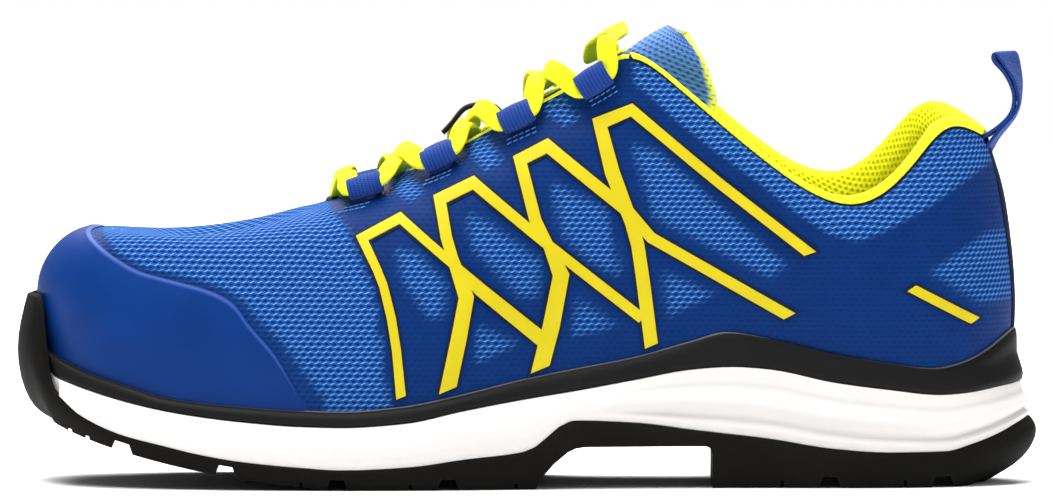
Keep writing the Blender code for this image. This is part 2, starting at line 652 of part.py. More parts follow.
def build_outsole(material, group, tools):
    """Rubber outsole with toe spring, bumper, arch tunnel, heel and tread grooves."""
    q = ring_places()
    x = outline(q)[0][:, 0]
    toe = toe_weight(q)
    heel = heel_weight(q)
    tread = level("tread", x)
    foxing = level("foxing", x)
    rings = []
    for row in OUTSOLE_RINGS:
        inset = row.side_in + (row.heel_in - row.side_in) * heel
        height = tread + (foxing - tread) * (row.side_up + (row.heel_up - row.side_up) * heel)
        inset = inset + (row.toe_in - inset) * toe
        height = height + (row.toe_z - height) * toe
        rings.append(ring(q, inset, height))
    inner = rings[-1].copy()
    inner[:, 2] = foxing - CUP_DEPTH
    rings.append(inner)
    outsole = stack_rings("outsole", rings, material, group)
    for groove in GROOVES:
        boolean(outsole, groove_cutter(groove, tools), "DIFFERENCE")
    for channel in CHANNELS:
        boolean(outsole, channel_cutter(channel, tools), "DIFFERENCE")
    tunnel = np.array([
        (152.0, -1.0), (152.6, 0.0), (158.0, 7.4), (162.0, 10.8), (167.0, TUNNEL_HEIGHT),
        (HEEL_BREAST - 2.0, TUNNEL_HEIGHT), (HEEL_BREAST, TUNNEL_HEIGHT - 2.0), (HEEL_BREAST, -1.0),
    ]) - (0.5 * LENGTH, 0.0)
    arch = prism("arch_tunnel_cutter", tunnel, -CUTTER_REACH, CUTTER_REACH, tools, axis=1)
    hide_cutter(arch)
    boolean(outsole, arch, "DIFFERENCE")
    apply_modifiers(outsole)
    return outsole


def bar_cutter(name, sections, tools):
    """A cutter lofted through four-sided sections."""
    count = len(sections[0])
    last = (len(sections) - 1) * count
    faces = ring_faces(len(sections), count)
    faces += [tuple(range(count)), tuple(range(last + count - 1, last - 1, -1))]
    cutter = make_object(f"{name}_cutter", np.concatenate(sections), faces, TOOL_MATERIAL, tools)
    hide_cutter(cutter)
    return cutter


def tread_section(mouth, root, depth):
    """Section of a tread groove, wider at its mouth: offsets and heights from the tread."""
    return ((-0.5 * mouth, -MOUTH_DROP), (-0.5 * root, depth), (0.5 * root, depth), (0.5 * mouth, -MOUTH_DROP))


def groove_cutter(groove, tools):
    """A bent bar across the tread."""
    x = groove.along - 0.5 * LENGTH
    floor = float(level("tread", x))
    slope = float(level("tread", x + groove.root) - level("tread", x - groove.root)) / (2.0 * groove.root)
    sections = []
    for across, shift in ((-CUTTER_REACH, groove.sweep), (0.0, 0.0), (CUTTER_REACH, groove.sweep)):
        section = []
        for offset, up in tread_section(groove.mouth, groove.root, groove.depth):
            reach = offset + 0.5 * shift
            section.append((x + reach, across, floor + up + slope * reach))
        sections.append(section)
    return bar_cutter(f"{groove.name}_groove", sections, tools)


def channel_cutter(channel, tools):
    """A bar along the tread that follows its rise to the toe."""
    sections = []
    for along, across in channel.path:
        x = along - 0.5 * LENGTH
        floor = float(level("tread", x))
        section = []
        for offset, up in tread_section(channel.width, 0.7 * channel.width, channel.depth):
            section.append((x, across + offset, floor + up))
        sections.append(section)
    return bar_cutter(f"{channel.name}_channel", sections, tools)


def beside_upper(q, height):
    """A ring just outside the upper's wall at a height."""
    point, outward = upper_frame(q, rib_share_at_height(q, height))
    flat = unit(outward * (1.0, 1.0, 0.0))
    return np.column_stack([(point + flat * WALL_CLEARANCE)[:, :2], height])


def upper_tuck(q):
    """Inset of the upper's feather line from the outline."""
    columns = np.array([(row.tuck,) for row in RIBS])
    return around(columns, columns, q)[:, 0]


def build_midsole(material, group):
    """Foam midsole: a cup with a stepped and ribbed side from the arch to the heel."""
    q = ring_places()
    x = outline(q)[0][:, 0]
    heel = heel_weight(q)
    low = level("foxing", x) + GAP
    high = level("rand_foot", x)
    bed = level("bed", x)
    ribbed = smoothstep(*RIB_FADE, x + 0.5 * LENGTH)
    rim = OUTSOLE_RINGS[-1]
    behind = bumper_inset(q)
    foot_in = np.maximum(rim.side_in + (rim.heel_in - rim.side_in) * heel + 0.5, behind)
    rings = [ring(q, foot_in, low - CUP_DEPTH), ring(q, foot_in, low)]
    for row in MIDSOLE_RINGS:
        inset = row.front_in + (row.rear_in - row.front_in) * ribbed + MIDSOLE_HEEL_EXTRA * heel
        rings.append(ring(q, np.maximum(inset, behind), low + (high - low) * row.share))
    rings.append(beside_upper(q, high))
    rings.append(beside_upper(q, bed))
    return stack_rings("midsole", rings, material, group)


def build_rand(material, group):
    """Frame round the joint of upper and midsole."""
    q = ring_places()
    x = outline(q)[0][:, 0]
    heel = heel_weight(q)
    foot = level("rand_foot", x) + GAP
    top = level("rand_top", x)
    outward = outline(q)[1]
    rings = []
    for row in RAND_RINGS:
        inset = np.maximum(row.side_in + (row.heel_in - row.side_in) * heel, bumper_inset(q))
        outer = ring(q, inset, foot + (top - foot) * row.share)
        wall = ((outer - beside_upper(q, outer[:, 2]))[:, :2] * outward).sum(axis=1)
        outer[:, :2] += outward * np.maximum(row.least_wall - wall, 0.0)[:, None]
        rings.append(outer)
    for share in RAND_INNER_SHARES:
        rings.append(beside_upper(q, foot + (top - foot) * share))
    faces = ring_faces(len(rings), len(q), wrap_rows=True)
    return make_object("rand", np.concatenate(rings), faces, material, group)


def build_upper(material, group):
    """Hollow upper over the last, open at the collar, the throat and underneath."""
    q = ring_places()
    rows = [upper_point(q, np.full_like(q, t)) for t in UPPER_ROWS]
    faces = ring_faces(len(rows), len(q))
    upper = make_object("upper", np.concatenate(rows), faces, material, group)
    first = upper.data.polygons[0]
    centre = np.array(first.center)
    if np.dot(np.array(first.normal)[:2], centre[:2]) < 0.0:
        upper.data.flip_normals()
    wall = upper.modifiers.new("wall", "SOLIDIFY")
    wall.thickness = UPPER_WALL * MM
    wall.offset = -1.0
    wall.use_even_offset = True
    wall.use_rim = True
    apply_modifiers(upper)
    return upper


def build_insole(material, group):
    """Loose footbed inside the upper."""
    q = ring_places()[::2]
    x = outline(q)[0][:, 0]
    inset = upper_tuck(q) + UPPER_WALL + 1.0
    bed = level("bed", x) + 2.0 * GAP
    rings = [ring(q, inset, bed), ring(q, inset, bed + 0.7 * INSOLE_THICKNESS),
             ring(q, inset + 1.2, bed + INSOLE_THICKNESS)]
    return stack_rings("insole", rings, material, group)


def build_tongue(material, group):
    """Padded tongue, curved across and thickest near its top."""
    rows = np.array([tuple(row) for row in TONGUE])
    share = np.linspace(0.0, 1.0, 13)
    knots = np.concatenate([[0.0], np.cumsum(np.hypot(np.diff(rows[:, 0]), np.diff(rows[:, 1])))])
    rows = spline(knots / knots[-1], rows, share)
    across = np.linspace(-1.0, 1.0, TONGUE_ACROSS)
    outer = np.zeros((len(rows), len(across), 3))
    for r, (along, up, wing_along, wing_half, wing_up, _) in enumerate(rows):
        bow = across * across
        x = along + (wing_along - along) * bow - 0.5 * LENGTH
        outer[r, :, 0] = x
        outer[r, :, 1] = across * wing_half + instep_line(x)
        outer[r, :, 2] = up + (wing_up - up) * bow
    by_row = np.gradient(outer, axis=0)
    by_column = np.gradient(outer, axis=1)
    outward = unit(np.cross(by_row, by_column))
    if outward[:, :, 2].mean() < 0.0:
        outward = -outward
    edge = 0.45 + 0.55 * np.cos(0.5 * math.pi * across) ** 0.5
    depth = rows[:, 5][:, None] * edge[None, :]
    return sheet_solid("tongue", outer, outer - outward * depth[:, :, None], material, group)


def build_toe_cap(material, group):
    """Film over the protective toe, with its rear edge swept back along each side."""
    stations = {name: KNOTS[STATIONS.index(name)] for name, _ in TOE_CAP_EDGE}
    end = float(np.interp(TOE_CAP_END_ALONG, [row.outer_along for row in OUTLINE], KNOTS))
    knots = [stations[name] for name, _ in TOE_CAP_EDGE]
    shares = [share for _, share in TOE_CAP_EDGE]
    places = ring_places()[:HALF_STATIONS]
    half = np.append(places[places < end - 2.0], end)
    q = np.concatenate([-half[:0:-1], half])
    wrapped = np.mod(q, 2.0 * HALF_WAY)
    x = outline(wrapped)[0][:, 0]
    foot = rib_share_at_height(wrapped, level("rand_top", x) + GAP + 0.4)
    reach = np.abs(q)
    top = monotone(knots + [end], shares + [0.0], reach)
    top = np.maximum(top, foot + 0.03)
    rows = np.linspace(0.0, 1.0, 7)
    t_rows = foot[None, :] + (top - foot)[None, :] * rows[:, None]
    q_rows = np.broadcast_to(wrapped, t_rows.shape)
    return overlay("toe_cap", q_rows, t_rows, FILM_CLEARANCE, FILM_THICKNESS, material, group)


def strip_outline(strip):
    """Quads of one strip in side view, one for each straight run, mitred at its corners."""
    path = np.array(strip.path) - (0.5 * LENGTH, 0.0)
    run = unit(np.diff(path, axis=0))
    side = np.column_stack([-run[:, 1], run[:, 0]])
    left = []
    right = []
    for k, point in enumerate(path):
        before = side[max(k - 1, 0)]
        after = side[min(k, len(side) - 1)]
        mitre = before + after
        mitre = mitre / np.dot(mitre, before)
        left.append(point + 0.5 * strip.width * mitre)
        right.append(point - 0.5 * strip.width * mitre)
    return np.array(left + right[::-1])


def build_strips(name, strips, cell, side, material, group, tools):
    """Welded strips as one solid: cut in side view, then laid on the upper's own form."""
    made = []
    for k, strip in enumerate(strips):
        made.append(prism(f"{name}_blank_{k}", strip_outline(strip), -1.0, 1.0, tools, axis=1))
    blank = made[0]
    for other in made[1:]:
        boolean(blank, other, "UNION")
    apply_modifiers(blank)
    edit = bmesh.new()
    edit.from_mesh(blank.data)
    bounds = np.array([v.co for v in edit.verts])
    for axis in (0, 2):
        normal = tuple(1.0 if k == axis else 0.0 for k in range(3))
        for cut in np.arange(bounds[:, axis].min(), bounds[:, axis].max(), cell[axis] * MM)[1:]:
            place = tuple(cut if k == axis else 0.0 for k in range(3))
            bmesh.ops.bisect_plane(edit, geom=edit.verts[:] + edit.edges[:] + edit.faces[:],
                                   dist=1e-7, plane_co=place, plane_no=normal)
    bmesh.ops.triangulate(edit, faces=edit.faces)
    bmesh.ops.dissolve_degenerate(edit, edges=edit.edges, dist=1e-6)
    points = np.array([v.co for v in edit.verts]) / MM
    q, t = side_place(points[:, 0] + 0.5 * LENGTH, points[:, 2], side)
    place, outward = upper_frame(q, t)
    over = points[:, 1] > 0.0
    lift = np.where(over, FILM_CLEARANCE + FILM_THICKNESS, FILM_CLEARANCE)
    place = place + outward * lift[:, None]
    edit.verts.ensure_lookup_table()
    faces = [tuple(v.index for v in face.verts) for face in edit.faces]
    edit.free()
    for item in made:
        bpy.data.objects.remove(item, do_unlink=True)
    return make_object(name, place, faces, material, group)


def build_heel_strip(material, group):
    """Webbing down the back seam."""
    q = HALF_WAY + np.linspace(-0.5, 0.5, 3) * HEEL_STRIP_WIDTH
    x = outline(q)[0][:, 0]
    foot = rib_share_at_height(q, level("rand_top", x) + GAP + 0.4)
    share = np.linspace(0.0, 1.0, 7)[:, None]
    t_rows = foot[None, :] + (HEEL_STRIP_TOP - foot)[None, :] * share
    q_rows = np.broadcast_to(q, t_rows.shape)
    return overlay("heel_strip", q_rows, t_rows, GAP, HEEL_STRIP_THICKNESS, material, group)


def build_collar(material, group):
    """Padded lining from one eyestay round the heel to the other, rolled over at the edge."""
    start = np.interp(COLLAR_START_STATION, range(len(KNOTS)), KNOTS)
    q = ring_places()
    q = q[(q > start) & (q < 2.0 * HALF_WAY - start)]
    full = smoothstep(0.0, 30.0, np.minimum(q - q[0], q[-1] - q))
    top, outward = upper_frame(q, np.ones_like(q))
    near, _ = upper_frame(q, np.full_like(q, 0.97))
    rise = unit(top - near)
    inside = -outward
    rings = []
    wall_side = (1.0, 0.5, 0.12)
    pad_side = ((0.12, 1.0), (0.3, 1.0), (0.6, 0.72), (1.0, 0.2))
    for share in wall_side:
        point, out = upper_frame(q, rib_share_below(q, share * COLLAR_DEPTH))
        rings.append(point - out * (UPPER_WALL + WALL_CLEARANCE))
    lean = 0.5 + 0.5 * full
    rings.append(top + inside * (UPPER_WALL + GAP) + rise * (0.3 * COLLAR_RISE))
    rings.append(top + inside * (0.35 * UPPER_WALL) + rise * (GAP + 0.35))
    rings.append(top + inside * (0.5 * UPPER_WALL) + rise * (COLLAR_RISE * lean)[:, None])
    rings.append(top + inside * (UPPER_WALL + 0.55 * COLLAR_PAD * lean)[:, None]
                 + rise * (COLLAR_RISE * 0.9 * lean)[:, None])
    for share, bulge in pad_side:
        point, out = upper_frame(q, rib_share_below(q, share * COLLAR_DEPTH))
        depth = UPPER_WALL + WALL_CLEARANCE + 0.8 + (COLLAR_PAD - 0.8) * bulge * lean
        rings.append(point - out * depth[:, None])
    rings = np.stack(rings, axis=1)
    count = rings.shape[1]
    faces = ring_faces(len(q), count)
    faces.append(tuple(range(count)))
    faces.append(tuple(range((len(q) - 1) * count, len(q) * count))[::-1])
    return make_object("collar", rings.reshape(-1, 3), faces, material, group)


def eyestay_place(x, share, side):
    """Place round the shoe where the eyestay reaches a place along it."""
    q = np.linspace(KNOTS[3], KNOTS[9], 400)
    if side > 0:
        q = 2.0 * HALF_WAY - q
    return q[[np.argmin(np.abs(upper_point(q, np.full_like(q, share))[:, 0] - x))]]


def loop_frame(loop, side):
    """Middle of a lace loop on the eyestay, with its axis, its outward side and its left side."""
    share = np.array([loop.share])
    q = eyestay_place(loop.along - 0.5 * LENGTH, loop.share, side)
    point, outward = upper_frame(q, share)
    step = (upper_point(q + 2.0, share) - upper_point(q - 2.0, share))[0]
    axis = unit(step) * (1.0 if step[0] > 0.0 else -1.0)
    left = unit(np.cross(outward[0], axis))
    middle = point[0] + outward[0] * (LOOP_HALF_DEPTH + GAP + 0.35)
    return middle, axis, outward[0], left


def build_lace_loop(name, loop, side, material, group):
    """A short tube of webbing on the eyestay edge."""
    middle, axis, outward, left = loop_frame(loop, side)
    angle = np.linspace(0.0, 2.0 * math.pi, LOOP_SIDES, endpoint=False)
    rings = []
    for end, wall in ((-0.5, 0.0), (0.5, 0.0), (0.5, LOOP_WALL), (-0.5, LOOP_WALL)):
        deep = (LOOP_HALF_DEPTH - wall) * np.cos(angle)
        high = (LOOP_HALF_HEIGHT - wall) * np.sin(angle)
        rings.append(middle + axis * end * LOOP_LENGTH + np.outer(deep, outward) + np.outer(high, left))
    faces = ring_faces(len(rings), LOOP_SIDES, wrap_rows=True)
    return make_object(name, np.concatenate(rings), faces, material, group)


def ribbon(name, path, across, widths, thickness, spacing, material, group, ends=None):
    """A flat band along a smooth path, with a width and its direction at each path point."""
    path = np.asarray(path, float)
    across = np.asarray(across, float)
    widths = np.broadcast_to(np.asarray(widths, float), len(path))
    knots = np.concatenate([[0.0], np.cumsum(np.linalg.norm(np.diff(path, axis=0), axis=1))])
    places = np.linspace(0.0, knots[-1], int(knots[-1] / spacing))
    points = spline(knots, path, places)
    run = unit(np.gradient(points, axis=0))
    if ends is not None:
        run[0], run[-1] = ends
    wide = spline(knots, across, places)
    wide = unit(wide - run * (wide * run).sum(axis=1, keepdims=True))
    thin = np.cross(run, wide)
    width = np.interp(places, knots, widths)[:, None]
    corners = ((-0.5, 0.0), (-0.3, -0.5), (0.3, -0.5), (0.5, 0.0), (0.3, 0.5), (-0.3, 0.5))
    rings = np.stack([points + wide * a * width + thin * b * thickness for a, b in corners], axis=1)
    count = len(corners)
    faces = ring_faces(len(points), count)
    faces.append(tuple(range(count)))
    faces.append(tuple(range((len(points) - 1) * count, len(points) * count))[::-1])
    return make_object(name, rings.reshape(-1, 3), faces, material, group)


def over_edge(point, side):
    """A point just above the eyestay's edge, level with another point along the shoe."""
    top = np.ones(1)
    edge, outward = upper_frame(eyestay_place(point[0], 1.0, side), top)
    return edge[0] + outward[0] * LACE_OVER_EDGE


def lace_run(start_frame, start_end, stop_frame, stop_end, height):
    """Path of a lace from one loop's mouth to another's, humped over the middle of the tongue."""
    mouth = 0.5 * LOOP_LENGTH + LACE_MOUTH_GAP
    start = start_frame[0] + start_frame[1] * start_end * mouth
    stop = stop_frame[0] + stop_frame[1] * stop_end * mouth
    leave = start + start_frame[1] * start_end * LACE_LEAVE
    arrive = stop + stop_frame[1] * stop_end * LACE_LEAVE
    middle = 0.5 * (leave + arrive)
    middle[2] = height
    shoulder_a = over_edge(leave + start_frame[1] * start_end * LACE_LEAVE, math.copysign(1.0, start[1]))
    shoulder_b = over_edge(arrive + stop_frame[1] * stop_end * LACE_LEAVE, math.copysign(1.0, stop[1]))
    path = [start, leave, shoulder_a, middle, shoulder_b, arrive, stop]
    flat = np.array((-0.85, 0.0, -0.5)) * (1.0 if stop[1] > start[1] else -1.0)
    leaving = start_frame[3] * start_end
    arriving = stop_frame[3] * -stop_end
    wide = [leaving, 0.7 * leaving + 0.3 * flat, flat, flat, flat, 0.7 * arriving + 0.3 * flat, arriving]
    widths = [LACE_WIDTH * share for share in LACE_SPREAD]
    ends = (start_frame[1] * start_end, stop_frame[1] * -stop_end)
    return path, wide, widths, ends


def lace_band(name, run, material, group):
    """One band of the lace along a run."""
    path, wide, widths, ends = run
    return ribbon(name, path, wide, widths, LACE_THICKNESS, LACE_SPACING, material, group, ends)


def build_laces(material, group):
    """Front bar, three crossings and the top bar of the lace."""
    near = [loop_frame(loop, -1) for loop in LOOPS]
    far = [loop_frame(loop, 1) for loop in LOOPS]
    lace_band("lace_bar", lace_run(near[0], -1.0, far[0], -1.0, LACE_BAR_UP), material, group)
    for k, height in enumerate(LACE_CROSS_UP):
        over = lace_run(near[k], 1.0, far[k + 1], -1.0, height)
        under = lace_run(far[k], 1.0, near[k + 1], -1.0, height - LACE_UNDER_SHARE * LACE_THICKNESS)
        cross = lace_band(f"lace_cross_{k + 1}", over, material, group)
        other = lace_band("crossing_lace", under, material, group)
        boolean(cross, other, "UNION", solver="MANIFOLD")
        apply_modifiers(cross)
        bpy.data.objects.remove(other, do_unlink=True)
    lace_band("lace_top", lace_run(near[3], 1.0, far[3], 1.0, LACE_TOP_UP), material, group)


def build_pull_loop(material, group):
    """Folded webbing loop behind the heel, lightly twisted towards its top."""
    shares = np.array(PULL_SEAT_SHARES)
    seat, outward = upper_frame(np.full_like(shares, HALF_WAY), shares)
    seat = seat + outward * (HEEL_STRIP_THICKNESS + 0.5 * PULL_THICKNESS + 2.5 * GAP)
    path = [tuple(point) for point in seat]
    path += [(along - 0.5 * LENGTH, 0.0, up) for along, up in PULL_PATH]
    lowest = path[1][2]
    highest = max(up for _, _, up in path)
    wide = []
    for _, _, up in path:
        turn = PULL_TWIST * max(up - lowest, 0.0) / (highest - lowest)
        wide.append((math.sin(turn), math.cos(turn), 0.0))
    return ribbon("pull_loop", path, wide, PULL_WIDTH, PULL_THICKNESS, PULL_SPACING, material, group)


def main():
    """Build every piece of the shoe."""
    shoe = make_collection("safety_shoe")
    tools = make_collection("cutters")
    black = make_material("black_rubber", (0.022, 0.020, 0.019), 0.62)
    white = make_material("white_foam", (0.86, 0.84, 0.82), 0.55)
    frame_black = make_material("black_frame", (0.020, 0.019, 0.020), 0.42)
    mesh_blue = make_material("blue_mesh", (0.020, 0.100, 0.420), 0.75)
    film_blue = make_material("blue_film", (0.014, 0.075, 0.380), 0.42)
    strip_yellow = make_material("yellow_strip", (0.930, 0.780, 0.020), 0.45)
    lining_yellow = make_material("yellow_lining", (0.760, 0.880, 0.020), 0.85)
    lace_yellow = make_material("yellow_lace", (0.790, 0.930, 0.020), 0.80)
    webbing_blue = make_material("blue_webbing", (0.020, 0.075, 0.300), 0.80)
    webbing_navy = make_material("navy_webbing", (0.010, 0.014, 0.045), 0.80)
    footbed = make_material("dark_footbed", (0.030, 0.032, 0.036), 0.90)

    build_outsole(black, shoe, tools)
    build_midsole(white, shoe)
    build_rand(frame_black, shoe)
    build_upper(mesh_blue, shoe)
    build_insole(footbed, shoe)
    build_tongue(mesh_blue, shoe)
    build_toe_cap(film_blue, shoe)
    build_collar(lining_yellow, shoe)
    build_heel_strip(webbing_navy, shoe)
    for side, side_name in ((-1, "outer"), (1, "inner")):
        build_strips(f"lattice_{side_name}", LATTICE, LATTICE_CELL, side, strip_yellow, shoe, tools)
        build_strips(f"heel_dash_{side_name}", (HEEL_DASH,), HEEL_DASH_CELL, side, strip_yellow, shoe, tools)
        for k, loop in enumerate(LOOPS):
            build_lace_loop(f"lace_loop_{side_name}_{k + 1}", loop, side, webbing_blue, shoe)
    build_laces(lace_yellow, shoe)
    build_pull_loop(webbing_blue, shoe)


clear_scene()
TOOL_MATERIAL = make_material("tool", (0.5, 0.5, 0.5), 0.8)
main()
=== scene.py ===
"""Looks of a low safety shoe for the left foot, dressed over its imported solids.

Forms are worked out in millimetres on the shoe's own last and become metres when a mesh is placed.
The toe points to -X, the outer side of the foot faces -Y and the shoe stands on z = 0. Along the
shoe, "along" is the distance from the toe tip, and "up" the height over the floor.
"""

import logging
import math
from collections.abc import Mapping, Sequence
from dataclasses import dataclass
from enum import Enum
from typing import Any, ClassVar, NamedTuple

import bmesh
import bpy
import numpy as np
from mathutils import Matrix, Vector


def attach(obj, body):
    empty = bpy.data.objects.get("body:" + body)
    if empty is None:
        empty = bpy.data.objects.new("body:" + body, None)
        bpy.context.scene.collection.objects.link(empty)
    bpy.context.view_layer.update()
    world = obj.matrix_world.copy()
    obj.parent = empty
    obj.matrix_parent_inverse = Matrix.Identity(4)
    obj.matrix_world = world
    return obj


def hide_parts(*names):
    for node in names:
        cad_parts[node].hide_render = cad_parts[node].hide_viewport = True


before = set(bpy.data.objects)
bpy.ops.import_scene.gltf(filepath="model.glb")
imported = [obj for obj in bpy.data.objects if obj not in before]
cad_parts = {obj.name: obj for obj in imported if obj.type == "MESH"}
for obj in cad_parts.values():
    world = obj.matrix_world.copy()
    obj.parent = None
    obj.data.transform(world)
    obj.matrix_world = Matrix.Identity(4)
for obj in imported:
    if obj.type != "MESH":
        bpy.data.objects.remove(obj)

LOG = logging.getLogger("safety_shoe")
MM = 0.001
MERGE_GAP = 2e-6
BODY = "root"
WEAVE_UV = "weave"
Array = np.ndarray
Colour = tuple[float, float, float]
Floats = tuple[float, ...]
Rows = tuple[Floats, ...]


class Side(Enum):
    """Side of the foot that a piece lies on."""

    OUTER = -1.0
    INNER = 1.0

    @property
    def word(self) -> str:
        """Name of the side as the nodes spell it."""
        return self.name.lower()


class Station(NamedTuple):
    """A place of the sole's outline, with the edge of the opening and the shape of the rib there.

    Each "in" and "up" of a rib is a share of the way from the feather line to the edge, in plan
    and in height, and "swell" is the outward belly. On the inner side the edge of the opening
    stands higher by "inner_lift".
    """

    name: str
    outer_along: float
    outer_across: float
    inner_along: float
    inner_across: float
    edge_along: float
    edge_outer_half: float
    edge_inner_half: float
    edge_up: float
    tuck: float
    wall_in: float
    wall_up: float
    flank_in: float
    flank_up: float
    shoulder_in: float
    shoulder_up: float
    crown_in: float
    crown_up: float
    swell: float
    inner_lift: float = 0.0


STATIONS = (
    Station("tip", 0.0, 9.0, 0.0, 9.0, 92.0, 0.0, 0.0, 83.0,
            8.8, -0.030, 0.42, 0.010, 0.680, 0.172, 0.838, 0.540, 0.750, 0.0),
    Station("nose", 4.0, -12.0, 3.0, 28.0, 92.4, 4.2, 4.2, 83.1,
            8.7, -0.030, 0.42, 0.014, 0.678, 0.178, 0.835, 0.542, 0.754, 0.0),
    Station("small_toe", 14.0, -29.0, 11.0, 40.0, 93.7, 8.0, 8.0, 83.4,
            8.0, -0.022, 0.40, 0.026, 0.654, 0.194, 0.822, 0.545, 0.780, 0.0),
    Station("toe_corner", 30.0, -41.0, 26.0, 47.5, 96.8, 11.6, 11.6, 84.4,
            7.6, -0.018, 0.37, 0.050, 0.615, 0.220, 0.790, 0.560, 0.848, 0.0),
    Station("toe_root", 55.0, -49.5, 52.0, 52.3, 102.6, 14.6, 14.6, 86.4,
            7.0, -0.020, 0.34, 0.060, 0.580, 0.240, 0.755, 0.570, 0.880, 0.0),
    Station("ball_front", 85.0, -53.3, 85.0, 53.2, 113.0, 16.6, 16.6, 90.8,
            6.8, -0.030, 0.32, 0.070, 0.545, 0.280, 0.745, 0.600, 0.890, 0.0),
    Station("ball_back", 115.0, -53.2, 115.0, 49.0, 127.0, 18.4, 18.4, 97.4,
            6.8, -0.040, 0.30, 0.060, 0.530, 0.280, 0.740, 0.600, 0.890, 0.0),
    Station("waist_front", 150.0, -47.5, 150.0, 39.5, 147.0, 20.6, 20.4, 108.4,
            6.8, -0.060, 0.29, 0.040, 0.530, 0.280, 0.755, 0.600, 0.900, 0.4),
    Station("waist", 185.0, -41.5, 185.0, 34.2, 169.0, 23.4, 22.6, 120.6,
            6.8, 0.000, 0.27, 0.100, 0.510, 0.380, 0.755, 0.680, 0.900, 2.2),
    Station("waist_back", 203.0, -39.4, 203.0, 33.6, 180.0, 26.0, 24.4, 125.8,
            6.8, 0.070, 0.26, 0.260, 0.505, 0.560, 0.755, 0.800, 0.900, 3.6),
    Station("heel_front", 222.0, -38.9, 222.0, 34.6, 194.0, 30.0, 27.2, 117.6,
            6.8, 0.140, 0.25, 0.400, 0.500, 0.690, 0.750, 0.880, 0.900, 4.4, 1.4),
    Station("heel_widest", 245.0, -39.6, 245.0, 36.8, 220.0, 32.6, 29.8, 95.8,
            7.0, 0.180, 0.25, 0.450, 0.500, 0.720, 0.750, 0.890, 0.900, 4.2, 1.6),
    Station("heel_side", 268.0, -36.5, 268.0, 34.6, 246.5, 31.0, 29.4, 83.7,
            7.4, 0.180, 0.25, 0.450, 0.500, 0.720, 0.750, 0.890, 0.900, 4.2, 6.0),
    Station("heel_corner", 285.0, -27.5, 285.0, 26.6, 263.5, 26.4, 25.6, 96.0,
            8.2, 0.160, 0.25, 0.430, 0.485, 0.710, 0.740, 0.890, 0.890, 4.8, 9.4),
    Station("heel_turn", 296.0, -14.5, 296.0, 14.0, 275.5, 17.6, 17.4, 106.0,
            9.0, 0.130, 0.25, 0.410, 0.475, 0.710, 0.725, 0.890, 0.885, 4.6, 2.2),
    Station("heel_back", 300.0, 0.0, 300.0, 0.0, 284.7, 0.0, 0.0, 102.3,
            9.2, 0.120, 0.25, 0.400, 0.470, 0.710, 0.720, 0.900, 0.880, 4.4),
)


class Level(NamedTuple):
    """Heights of the lines that run along the side of the sole."""

    along: float
    rand_top: float
    rand_foot: float
    foxing: float
    bed: float
    tread: float


LEVELS = (
    Level(0.0, 40.5, 35.2, 31.0, 29.5, 25.0),
    Level(9.4, 36.2, 31.5, 28.2, 27.5, 18.6),
    Level(19.0, 32.9, 28.5, 20.8, 25.0, 14.6),
    Level(31.0, 29.7, 25.3, 15.6, 22.4, 10.8),
    Level(43.0, 26.5, 22.8, 12.7, 20.0, 7.7),
    Level(55.0, 25.0, 21.0, 10.0, 18.2, 5.2),
    Level(67.0, 24.0, 19.7, 8.1, 16.9, 3.2),
    Level(83.0, 23.0, 18.5, 6.6, 15.8, 1.1),
    Level(96.0, 22.6, 18.2, 5.8, 15.4, 0.0),
    Level(115.0, 24.1, 19.4, 6.6, 16.2, 0.0),
    Level(132.0, 27.4, 22.9, 8.8, 18.2, 0.0),
    Level(150.0, 31.8, 26.2, 11.0, 20.8, 0.0),
    Level(164.0, 34.6, 28.4, 19.9, 23.6, 0.0),
    Level(182.0, 38.0, 31.6, 19.1, 25.4, 0.0),
    Level(199.0, 42.6, 34.6, 16.9, 26.4, 0.0),
    Level(210.0, 45.3, 35.3, 15.6, 26.5, 0.0),
    Level(220.0, 44.0, 34.7, 14.4, 26.2, 0.0),
    Level(240.0, 39.4, 30.7, 11.3, 24.8, 0.0),
    Level(256.0, 36.6, 28.6, 10.2, 23.8, 0.0),
    Level(273.0, 34.5, 26.9, 10.3, 23.2, 0.0),
    Level(281.0, 35.8, 27.3, 12.2, 23.3, 0.0),
    Level(291.0, 39.8, 28.6, 15.4, 23.8, 0.0),
    Level(296.0, 42.8, 29.2, 17.6, 24.1, 0.0),
    Level(300.0, 45.6, 29.8, 19.4, 24.4, 0.0),
)


class Stop(NamedTuple):
    """A bend of a strip's centre line in side view, with the strip's width there."""

    along: float
    up: float
    width: float


class Strip(NamedTuple):
    """A strip of film on the side: its bends, and the directions that its ends are cut along."""

    stops: tuple[Stop, ...]
    foot_cut: tuple[float, float] | None = None
    end_cut: tuple[float, float] | None = None


